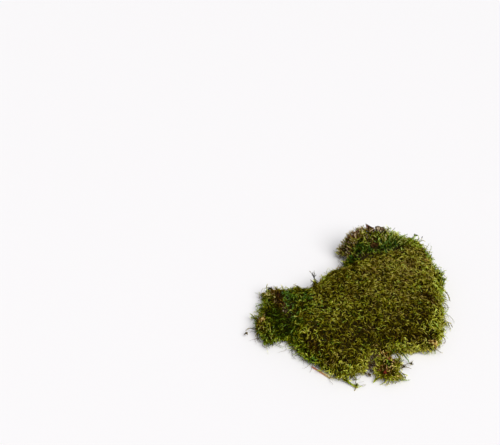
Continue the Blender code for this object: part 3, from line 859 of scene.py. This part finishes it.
tone, age_and_light = shades(mine, rng, (0.1, 0.1), (0.49, 0.2))
plant("lobe_bristles", lobe_moss, mine, up, tone, age_and_light, rng, length=(7, 11), width=(0.6, 0.9),
      curl=(0.2, 0.8), proud=(1.5, 4.5), lift=(0, 0.3), swing=(-1, 1))

# More shoots, long, dark green and darkened with painted shade, lie across the valley between the lobe and
# the crown.
deep = near(place, *VALLEY_BED) > 0.3
mine, up = place[deep], normal[deep]
tone, age_and_light = shades(mine, rng, (0.84, 0.12), (0.43, 0.25))
plant("valley_shoots", lobe_moss, mine, up, tone, age_and_light, rng, length=(8, 13), width=(0.8, 1.15),
      curl=(1.2, 2.1), proud=(-1.5, 1.5), lift=(0, 0.4), swing=(-2.5, 2.5))

# ------------ front tuft
# A torn tuft that hangs on in front by a thin neck: looser than the rest, brown at its right, green
# in the middle, yellow at its foot and reddish round a scrap of leaf.
TUFT_PATCHES = {
    "red": (-0.3, -0.1, (8, 20, -94, 24, -97)),
    "yellow": (0.24, 0.16, (9, 31, -89, 33, -96)),
    "green": (0.36, 0, (6, 25, -84, 26, -90), (8, 15, -99, 18, -101)),
    "brown": (-0.24, -0.02, (7, 32, -76, 32, -84)),
}
tuft_moss = moss_material("tuft moss", [
    (0, 0.2, 0.05, 0.008), (0.22, 0.36, 0.2, 0.02), (0.45, 0.5, 0.38, 0.03), (0.72, 0.55, 0.54, 0.02),
    (0.88, 0.25, 0.37, 0.014), (1, 0.1, 0.22, 0.01),
])
rng = np.random.default_rng(105)
mine, up = place[is_tuft], normal[is_tuft]
tone, age_and_light = shades(mine, rng, (0.38, 0.15), (0.92, 0.2), TUFT_PATCHES)
plant("tuft_shoots", tuft_moss, mine, up, tone, age_and_light, rng, length=(5.5, 10), width=(0.9, 1.25),
      curl=(0.5, 1.6), proud=(-3.5, 0.5), swing=(-2.2, 2.2))

# ------------ strays
# Some long shoots have worked loose at the edge and trail on the ground or stand up by themselves.
# Each follows a curve through the air and has a thinner shoot beside it; a few end in a withered head.
STRAY_LEAVES = 18
# A stray's tone, its width and the four points of its curve, x, y, z, in millimetres.
STRAYS = [
    (0.62, 2.0, -25, -94, 6, -15, -101, 3, -9, -107, 2, -4, -110, 2),
    (0.7, 1.9, -21, -94, 6, -16, -102, 5, -11, -106, 3, -4, -109, 2),
    (0.6, 1.6, -22, -92, 6, -16, -99, 5, -11, -104, 3, -7, -107, 2),
    (0.3, 0.5, -5, -108, 2, -2, -108, 2, 1, -107, 2, 4, -106, 2),
    (0.3, 0.7, -10, -94, 6, -6, -97, 5, -2, -98, 4, 2, -96, 4),
    (0.15, 0.95, -90, -43, 5, -96, -39, 7, -101, -36, 8, -104, -40, 5),
    (0.9, 0.8, -91, -34, 7, -94, -28, 8, -97, -25, 9, -99, -22, 10),
    (0.85, 0.7, -91, -33, 8, -94, -27, 8, -95, -24, 9, -97, -19, 10),
    (0.9, 0.8, -87, -9, 9, -89, -7, 10, -90, -6, 10, -91, -6, 9),
    (0.85, 0.7, -81, -54, 4, -77, -56, 3, -73, -58, 2, -69, -61, 2),
    (0.8, 0.6, -59, -62, 4, -62, -67, 2, -60, -70, 2, -57, -68, 2),
    (0.2, 0.9, -46, 10, 16, -50, 12, 18, -53, 14, 18, -55, 15, 18),
    (0.9, 0.45, -30, 14, 18, -33, 17, 19, -34, 20, 20, -33, 22, 20),
    (0.92, 0.7, -72, -34, 15, -69, -40, 16, -68, -44, 16, -70, -49, 14),
    (0.95, 0.7, -78, -30, 14, -74, -36, 16, -70, -36, 16, -66, -32, 15),
    (0.95, 0.6, -80, -38, 13, -76, -44, 15, -72, -46, 15, -68, -42, 15),
    (0.9, 0.7, -66, -22, 16, -70, -28, 16, -74, -30, 15, -78, -26, 14),
    (0.9, 1.5, 94, 15, 10, 100, 18, 11, 104, 25, 12, 106, 32, 13),
    (0.85, 1.1, 94, 24, 12, 101, 29, 13, 104, 34, 14, 106, 40, 14),
    (0.85, 0.9, 95, 33, 13, 102, 39, 14, 106, 41, 15, 109, 43, 15),
    (0.34, 1.5, 95, 23, 10, 103, 20, 9, 107, 13, 7, 106, 4, 5),
    (0.7, 0.95, 92, 1, 8, 103, 0, 7, 105, -8, 5, 96, -14, 4),
    (0.6, 0.5, 94, -15, 7, 101, -16, 5, 103, -20, 3, 104, -27, 3),
    (0.8, 0.9, 84, -33, 8, 89, -35, 6, 91, -37, 4, 92, -38, 3),
    (0.15, 0.8, 84, -46, 6, 89, -48, 4, 89, -53, 3, 86, -56, 3),
    (0.9, 2.0, 62, 70, 25, 72, 78, 26, 79, 83, 27, 86, 90, 28),
    (0.8, 1.8, 64, 74, 24, 73, 79, 25, 79, 82, 26, 84, 87, 27),
    (0.45, 0.9, 62, -56, 12, 66, -60, 11, 69, -64, 9, 66, -68, 5),
    (0.42, 0.9, 66, -54, 13, 70, -57, 13, 74, -60, 11, 75, -64, 7),
    (0.3, 0.8, 70, -52, 14, 76, -54, 13, 80, -58, 10, 80, -64, 6),
    (0.15, 0.8, 73, -53, 13, 80, -53, 11, 82, -58, 8, 79, -65, 4),
    (0.2, 0.8, 68, -60, 11, 72, -64, 9, 76, -68, 6, 82, -68, 3),
    (0.4, 0.9, 30, -70, 9, 34, -72, 8, 37, -76, 7, 36, -82, 6),
    (0.3, 0.9, 34, -70, 8, 38, -74, 7, 40, -79, 6, 39, -84, 5),
    (0.88, 1.1, 60, 76, 27, 67, 84, 29, 71, 88, 29, 76, 91, 28),
    (0.8, 0.7, 87, 64, 18, 94, 74, 20, 97, 78, 20, 99, 84, 21),
    (0.8, 0.7, 90, 62, 17, 98, 71, 19, 101, 75, 19, 101, 82, 20),
    (0.2, 0.7, 34, -87, 6, 42, -86, 5, 47, -83, 4, 52, -79, 4),
    (0.1, 0.7, 35, -88, 5, 40, -89, 5, 45, -87, 5, 48, -89, 4),
    (0.85, 1.0, 30, -98, 4, 34, -103, 3, 38, -102, 3, 44, -102, 3),
    (0.75, 0.9, 32, -95, 4, 35, -99, 3, 38, -101, 3, 42, -102, 3),
    (0.9, 1.6, 37, -64, 8, 42, -70, 6, 45, -74, 5, 48, -79, 3),
    (0.6, 1.4, 33, -64, 8, 36, -69, 6, 39, -73, 5, 41, -77, 4),
    (0.4, 1.3, 36, -64, 8, 40, -67, 7, 42, -71, 5, 43, -74, 4),
    (0.6, 0.8, 34, -67, 8, 39, -72, 6, 44, -75, 5, 46, -71, 5),
    (0.5, 0.8, 45, -67, 8, 48, -72, 6, 50, -75, 5, 53, -70, 4),
    (0.25, 0.8, 16, -74, 8, 18, -79, 6, 15, -85, 5, 17, -92, 4),
    (0.2, 0.7, 8, -76, 7, 12, -79, 4, 10, -86, 3, 11, -93, 3),
    (0.15, 0.8, 2, -88, 5, 7, -91, 4, 9, -94, 3, 9, -97, 2),
    (0.5, 0.9, 4, -78, 6, 10, -82, 3, 13, -82, 3, 20, -86, 5),
    (0.7, 1.6, 21, -96, 4, 17, -99, 3, 14, -100, 2, 12, -103, 2),
]
# A head's tone and its place, in millimetres.
HEADS = [
    (0.08, -104.5, -42.5, 4), (0.6, -5, -108, 3), (0.3, 32, -101, 3), (0.1, 42, -86, 4), (0.2, 39, -84, 4),
    (0.1, 9, -95, 3), (0.15, 5, -93, 3), (0.2, 49, -82, 4), (0.9, 85, 89, 28), (0.9, 105, 31, 12),
]
HEAD_SHOOTS = 8
HEAD_STEPS = 5


def cubic(steps):
    """The weights (step, point) of a cubic curve's four points, along it in even steps: t is the share of
    the way, and the weights are (1 - t) cubed, 3 (1 - t) squared t, 3 (1 - t) t squared and t cubed."""
    t = np.linspace(0, 1, steps)
    return np.stack([(1 - t) ** 3, 3 * (1 - t) ** 2 * t, 3 * (1 - t) * t ** 2, t ** 3], axis=1)


rng = np.random.default_rng(106)
pairs = np.repeat(np.array(STRAYS), 2, axis=0)
route = pairs[:, 2:].reshape(-1, 4, 3)
companion = np.arange(len(pairs)) % 2
route += companion[:, None, None] * rng.normal(0, 1.0, route.shape) * [1, 1, 0.5]
kept = (pairs[:, 1] >= 0.5) | (companion == 0)
route = route[kept]
route[:, 0, 2] -= 1.0
stem = np.einsum("sk,nkx->nsx", cubic(STRAY_LEAVES + 1), route) * MM
width = (pairs[:, 1] * (1 - 0.35 * companion) * MM)[kept]
tone = pairs[kept, 0] + rng.normal(0, 0.06, len(stem))
age_and_light = rng.uniform(0.7, 0.95, len(stem))
points, faces, uv = leafy(stem, width, tone, age_and_light, 0.35, rng, core=0.27)
new_piece("stray_shoots", points, faces, rim_moss, uv)

# A withered head is a knot of short shoots that start from one place and point all ways.
heads = np.repeat(np.array(HEADS), HEAD_SHOOTS, axis=0)
count = len(heads)
out = unit(rng.normal(size=(count, 3)) * [1, 1, 0.6])
root = heads[:, 1:] * MM - 0.8 * MM * out
heading = unit(np.cross(out, [0.0, 0.0, 1.0]))
length, curl, swing = (rng.uniform(*span, count) for span in ((1.8, 3.2), (0.3, 1.2), (-1, 1)))
stem = bent_stems(root, out, heading, length * MM, np.zeros(count), curl, swing, HEAD_STEPS)
tone = heads[:, 0] + rng.normal(0, 0.08, count)
width, age_and_light = rng.uniform(0.9, 1.3, count) * MM, rng.uniform(0.6, 0.9, count)
points, faces, uv = leafy(stem, width, tone, age_and_light, 0.4, rng)
new_piece("withered_heads", points, faces, rim_moss, uv)

# ------------ root side
# The underside is matted with thin brown threads, the bare old stems and the rootlets that hold the
# mat to the ground. They lie flat under the felt, and a few show round the edge.
THREAD_STEPS = 8
ROOT_SPACING = 4.2 * MM


def threads(name, middle, aim, back, length, radius, tone, wander, heights, rng):
    """Adds wiry tubes as one piece. Each starts back along its aim from its middle. Its direction wanders
    by a running sum of small random turns in plan, its points are the running sum of the direction, held
    between the heights, and a ring of points is set round each. The ranges are in millimetres."""
    count = len(middle)
    length, radius = (rng.uniform(*span, count) * MM for span in (length, radius))
    tone = np.clip(rng.normal(tone, 0.25, count), 0.02, 0.98)
    turn = np.cumsum(rng.normal(0, wander, (count, THREAD_STEPS)), axis=1)
    angle = np.arctan2(aim[:, 1], aim[:, 0])[:, None] + turn
    slope = rng.normal(0, 0.15, (count, THREAD_STEPS))
    forward = unit(np.stack([np.cos(angle), np.sin(angle), slope], axis=2))
    start = middle - back * MM * unit(aim * [1, 1, 0])
    path = start[:, None] + np.cumsum(forward * (length / THREAD_STEPS)[:, None, None], axis=1)
    path[..., 2] = np.clip(path[..., 2], *(height * MM for height in heights))
    side = np.stack([-np.sin(angle), np.cos(angle), np.zeros_like(angle)], axis=2)
    thin = radius[:, None] * np.linspace(1.0, 0.35, THREAD_STEPS)
    rings = ringed(path, thin[..., None], side, np.cross(forward, side), STEM_SIDES)
    tones = np.broadcast_to(tone[:, None, None] + 0.01 * (np.arange(STEM_SIDES) - 1), rings.shape[:3])
    along = np.broadcast_to(np.linspace(0.02, 0.98, THREAD_STEPS)[:, None], rings.shape[:3])
    faces = repeated(stem_faces(THREAD_STEPS), THREAD_STEPS * STEM_SIDES, count)
    new_piece(name, rings.reshape(-1, 3), faces, thread_brown, uv_pairs(tones, along))


thread_brown, nodes, links, shader = plain_material("thread brown", 0.75, 0.15)
thread_colour = ramp_colour(nodes, links, uv_parts(nodes, links)[0], [
    (0, 0.03, 0.016, 0.006), (0.4, 0.075, 0.04, 0.014), (0.7, 0.14, 0.085, 0.03), (1, 0.1, 0.1, 0.02),
])
links.new(thread_colour, shader.inputs["Base Color"])
rng = np.random.default_rng(107)
under, facet = scattered(skin, ROOT_SPACING, rng)
down = (outward[facet][:, 2] < -0.35) | (under[:, 2] < 1.5 * MM)
under = under[down] + [0, 0, 1 * MM]
threads("root_threads", under, rng.normal(size=under.shape), back=4, length=(7, 15), radius=(0.12, 0.26),
        tone=0.45, wander=0.45, heights=(0.3, 1.8), rng=rng)

# ------------ bay threads
# In the bay between the front of the clump and the tuft the mat is torn thin: bare old stems cross it,
# crowded at the back and few at the front, and the ground shows between them.
BAY_THREADS = 300
BAY_SIDES = (5, 20)
BAY_BACK = -60
BAY_DEPTH = 31
BAY_HEIGHTS = (0.5, 7)
across = rng.uniform(*BAY_SIDES, BAY_THREADS)
back = BAY_BACK - BAY_DEPTH * rng.random(BAY_THREADS) ** 1.6
middle = np.stack([across, back, rng.uniform(*BAY_HEIGHTS, BAY_THREADS)], 1) * MM
threads("bay_threads", middle, rng.normal(size=middle.shape) * [0.5, 1, 0], back=5, length=(7, 13),
        radius=(0.18, 0.36), tone=0.4, wander=0.35, heights=(0.4, 8), rng=rng)

# ------------ scraps of bark, leaf and husk
# Bits of forest litter have lodged between the shoots and go where the clump goes. Each is a small
# torn plate, curled as it dried, with ragged edges, and takes its place from its solid.
SCRAP_RINGS = 7
SCRAP_EDGE = 72
RAGGED = 0.05
TO_VIEWER = (-0.2, -0.8, 0.6)
UPWARD = (0.0, -0.25, 1.0)


def scrap(node, material, outline, facing, curl, crumple, thickness, seed, shift=(0, 0, 0)):
    """A torn plate in the place of a solid, facing a direction. Its outline (right, up, right, up in the
    plate), curl, crumple, thickness and shift are in millimetres.

    The outline is resampled evenly and roughened by noise. Points lie at sqrt-spaced shares of the way
    from its middle to it, on an upper and an under skin. With x and y as shares of the plate's reach they
    are raised by curl * (x squared + half y squared) and by crumple times two crossing sine waves, and the
    skins part by thickness * (1 - share ** 4).
    """
    rng = np.random.default_rng(seed)
    corner = np.array(outline + outline[:2], float).reshape(-1, 2) * MM
    travelled = np.concatenate([[0], np.cumsum(np.linalg.norm(np.diff(corner, axis=0), axis=1))])
    steps = np.linspace(0, travelled[-1], SCRAP_EDGE, endpoint=False)
    edge = np.stack([np.interp(steps, travelled, corner[:, axis]) for axis in (0, 1)], axis=1)
    waves = np.sin(np.arange(SCRAP_EDGE)[:, None] * 1.3 + seed)
    edge *= 1 + rng.normal(0, RAGGED, (SCRAP_EDGE, 1)) + RAGGED * waves
    centre = edge.mean(0)
    share = np.sqrt(np.linspace(0, 1, SCRAP_RINGS))
    plan = centre + share[:, None, None] * (edge - centre)
    reach = np.abs(edge - centre).max()
    x, y = (plan[..., 0] - centre[0]) / reach, (plan[..., 1] - centre[1]) / reach
    crumpled = np.sin(6 * x + 2 * y + seed) * np.sin(5 * y - 2 * x + 2 * seed)
    rise = (curl * (x ** 2 + 0.5 * y ** 2) + crumple * crumpled) * MM
    part = thickness * MM * (1 - share[:, None] ** 4) / 2
    front = unit(np.array(facing, float))
    right = unit(np.cross([0.0, 0.0, 1.0], front))
    above = np.cross(front, right)
    low, high = (np.array(corner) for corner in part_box(node))
    base = (low + high) / 2 + np.array(shift) * MM + plan[..., :1] * right + plan[..., 1:] * above
    upper, under = (base + (rise + side * part)[..., None] * front for side in (1, -1))
    points = np.concatenate([upper.reshape(-1, 3), under.reshape(-1, 3)])
    skin_faces = walls(SCRAP_RINGS, SCRAP_EDGE)
    faces = np.concatenate([skin_faces[:, ::-1], skin_faces + SCRAP_RINGS * SCRAP_EDGE])
    points, faces = merged(points[faces])
    faces = faces[(faces != np.roll(faces, 1, axis=1)).all(1)]
    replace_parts(new_piece(f"torn_{node}", points, faces, material, smooth=True), node)


bark_brown = litter_material("bark brown", [
    (0.35, 0.005, 0.002, 0.001), (0.5, 0.012, 0.004, 0.001), (0.6, 0.026, 0.01, 0.003),
    (0.7, 0.06, 0.026, 0.009),
], scale=420, rough=0.95, depth=1.2 * MM, stretch=(1, 0.2, 1), turn=0.3)
flake_brown = litter_material("flake brown", [
    (0.35, 0.018, 0.007, 0.004), (0.5, 0.06, 0.025, 0.014), (0.62, 0.13, 0.06, 0.036),
    (0.72, 0.22, 0.13, 0.09),
], scale=350, rough=0.9, depth=0.4 * MM, stretch=(1, 0.3, 1), turn=0.3)
leaf_brown = litter_material("dead leaf brown", [
    (0.38, 0.02, 0.008, 0.002), (0.46, 0.11, 0.055, 0.01), (0.54, 0.38, 0.25, 0.05), (0.64, 0.62, 0.48, 0.2),
], scale=420, rough=0.85, depth=0.5 * MM, stretch=(1, 0.6, 1), turn=0.8)
leaf_dark = litter_material("dead leaf dark", [
    (0.35, 0.012, 0.005, 0.001), (0.5, 0.04, 0.018, 0.004), (0.68, 0.09, 0.05, 0.012),
], scale=300, rough=0.8, depth=0.3 * MM, stretch=(1, 0.6, 1), turn=0.8)
husk_cream = litter_material("husk cream", [
    (0.4, 0.03, 0.02, 0.008), (0.48, 0.16, 0.11, 0.06), (0.56, 0.5, 0.42, 0.28), (0.66, 0.75, 0.68, 0.5),
], scale=420, rough=0.85, depth=0.3 * MM, stretch=(1, 0.2, 1), turn=1)
leaf_red = litter_material("dead leaf red", [
    (0.38, 0.012, 0.003, 0.001), (0.5, 0.055, 0.007, 0.002), (0.64, 0.14, 0.022, 0.008),
], scale=500, rough=0.8, depth=0.3 * MM, stretch=(1, 0.5, 1), turn=0.5)

scrap("bark_flake", flake_brown,
      [-5.3, 5, -2.9, 4.2, 0, 2.9, 3.4, 1.8, 5.3, 0.6, 4.9, -2.2, 1.7, -3.4, -1.9, -3.2, -4.4, -2,
       -4.1, 1.1],
      TO_VIEWER, curl=0.6, crumple=0.6, thickness=1.1, seed=1, shift=(-1, 0, 1.6))
scrap("pale_husk", husk_cream,
      [-5.6, -0.8, -4.8, 2.4, -1.6, 3.4, 1.2, 2.4, 3.4, 3, 5.8, 0.4, 4.2, -2.4, 1, -3, -3, -2.7],
      TO_VIEWER, curl=-0.8, crumple=0.8, thickness=1.6, seed=2, shift=(-2, 0, 2.2))
scrap("fold_leaf", leaf_dark,
      [-4.4, -1, -3, 2, 0.4, 3, 3.6, 2.2, 4.6, 0, 2.4, -1.6, 0.6, -1.2, -1.6, -3],
      TO_VIEWER, curl=0.8, crumple=0.7, thickness=0.5, seed=3, shift=(-1, 0, 1.5))
scrap("bark_strip", bark_brown,
      [-1.4, 10, -0.2, 7.6, 1.4, 9.8, 2.4, 5, 1.6, 1, 2.8, -4, 2, -9, 0.4, -7.8, -0.6, -10.4, -2, -5,
       -1.4, 0, -2.6, 5],
      UPWARD, curl=0.8, crumple=0.9, thickness=1, seed=4, shift=(0.4, -2.4, -1.4))
scrap("pale_chip", husk_cream,
      [-2.4, -0.6, -1.4, 1.8, 0.8, 1.2, 2.4, 2, 2, -0.8, 0.2, -2.2],
      UPWARD, curl=0.4, crumple=0.3, thickness=0.8, seed=5)
scrap("tan_chip", leaf_brown,
      [-3, -1.8, -2.4, 0.6, -0.4, 1.4, 1, 2.8, 2.8, 1.6, 2, -0.4, 0.6, -0.8, -0.8, -2.6],
      TO_VIEWER, curl=0.7, crumple=0.7, thickness=0.4, seed=6, shift=(-1.5, -1.5, -0.6))
scrap("corner_leaf", leaf_brown,
      [-4.8, 0.4, -3.4, 2, -1.2, 1.2, 1, 2.6, 3.4, 1.8, 4.8, -0.6, 4.6, -4.2, 3.6, -8, 1.8, -4.8, 0, -4,
       -1.8, -4.6, -3.4, -2.2],
      TO_VIEWER, curl=1.2, crumple=1, thickness=0.4, seed=7, shift=(0.6, -2.8, -1.8))
scrap("red_scrap", leaf_red,
      [-2.2, 0.6, -1, 1.2, 0, 3.2, 0.8, 1.4, 2.2, 0.6, 1.2, -1, 0.6, -2.8, -0.6, -1.4, -2, -1.8],
      TO_VIEWER, curl=0.6, crumple=0.5, thickness=0.5, seed=8, shift=(-0.4, -2.6, -1.2))

# ------------ dry stalk
# A thin dead plant stalk caught under the front left edge, red-brown and going greenish-straw at its
# right end, where a pale sliver of its skin peels off. It lies loose between the moss and the ground.
STALK_SIDES = 12
STALK_STEPS = 60
STALK_KNOTS = (0.22, 0.5, 0.76)
STALK_ROUTE = [(-43, -83.5, 1), (-38.5, -87, 1.1), (-33, -93, 1.2), (-27, -98, 1.1)]
SLIVER_ROUTE = [(-36.5, -88.5, 1.8), (-32.5, -91.5, 2), (-29, -95, 2), (-24.5, -98, 0.9)]


def wand(route, radius, flat, knots):
    """A closed tube along a cubic curve with the given control points, in millimetres. Its profile is a
    circle, pressed to the flat share of its height, of a radius that runs from the first to the last
    given one, swells at three knots by their share and is uneven by crossing sine waves."""
    t = np.linspace(0, 1, STALK_STEPS)
    path = cubic(STALK_STEPS) @ np.array(route) * MM
    forward = unit(np.gradient(path, axis=0))
    side = unit(np.cross(forward, [0.0, 0.0, 1.0]))
    turn = np.arange(STALK_SIDES) * 2 * math.pi / STALK_SIDES
    swelling = sum(knots * np.exp(-((t - knot) / 0.02) ** 2) for knot in STALK_KNOTS)
    rounded = np.minimum(1, np.minimum(t, 1 - t) * 40 + 0.35)
    size = np.interp(t, (0, 1), radius) * MM * (1 + swelling) * rounded
    rough = 1 + 0.08 * np.sin(3 * turn + 9 * t[:, None]) + 0.05 * np.sin(5 * turn - 31 * t[:, None])
    points = ringed(path, size[:, None] * rough, side, flat * np.cross(side, forward), STALK_SIDES)
    last = STALK_STEPS * STALK_SIDES
    fan = np.arange(STALK_SIDES)
    start_cap = np.stack([np.full(STALK_SIDES, last), fan, np.roll(fan, -1)], 1)
    end_cap = start_cap[:, [0, 2, 1]] + [1, last - STALK_SIDES, last - STALK_SIDES]
    faces = np.concatenate([walls(STALK_STEPS, STALK_SIDES)[:, ::-1], start_cap, end_cap])
    return np.concatenate([points.reshape(-1, 3), path[:1], path[-1:]]), faces


stalk_red, nodes, links, shader = plain_material("stalk red", 0.6, 0.2)
whereabouts = nodes.new("ShaderNodeTexCoord")
split = nodes.new("ShaderNodeSeparateXYZ")
links.new(whereabouts.outputs["Object"], split.inputs["Vector"])
along = nodes.new("ShaderNodeMapRange")
dial(along, {"From Min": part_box("dry_stalk")[0].x, "From Max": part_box("dry_stalk")[1].x})
links.new(split.outputs["X"], along.inputs["Value"])
stalk_colour = ramp_colour(nodes, links, along.outputs["Result"], [
    (0, 0.42, 0.2, 0.14), (0.3, 0.5, 0.19, 0.1), (0.6, 0.55, 0.28, 0.12), (0.8, 0.55, 0.45, 0.16),
    (1, 0.66, 0.62, 0.34),
])
streaks = grain(nodes, links, 1200.0, 4.0, (0.2, 1.0, 1.0), 0.7)
tint = ramp_colour(nodes, links, streaks, [(0.3, 0.45, 0.4, 0.35), (0.7, 1.2, 1.2, 1.2)])
links.new(multiplied(nodes, links, stalk_colour, tint, 0.7), shader.inputs["Base Color"])
relief(nodes, links, shader, streaks, 0.5, 0.1 * MM)
straw = litter_material("stalk straw", [
    (0.35, 0.3, 0.24, 0.1), (0.5, 0.55, 0.48, 0.24), (0.65, 0.78, 0.72, 0.5),
], scale=600, rough=0.8, depth=0.2 * MM, stretch=(0.3, 1, 1), turn=0.8)
points, faces = wand(STALK_ROUTE, (0.7, 0.55), flat=1.0, knots=0.35)
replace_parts(new_piece("stalk", points, faces, stalk_red, smooth=True), "dry_stalk")
points, faces = wand(SLIVER_ROUTE, (0.7, 0.9), flat=0.35, knots=0.0)
new_piece("stalk_sliver", points, faces, straw, smooth=True)

low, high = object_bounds()
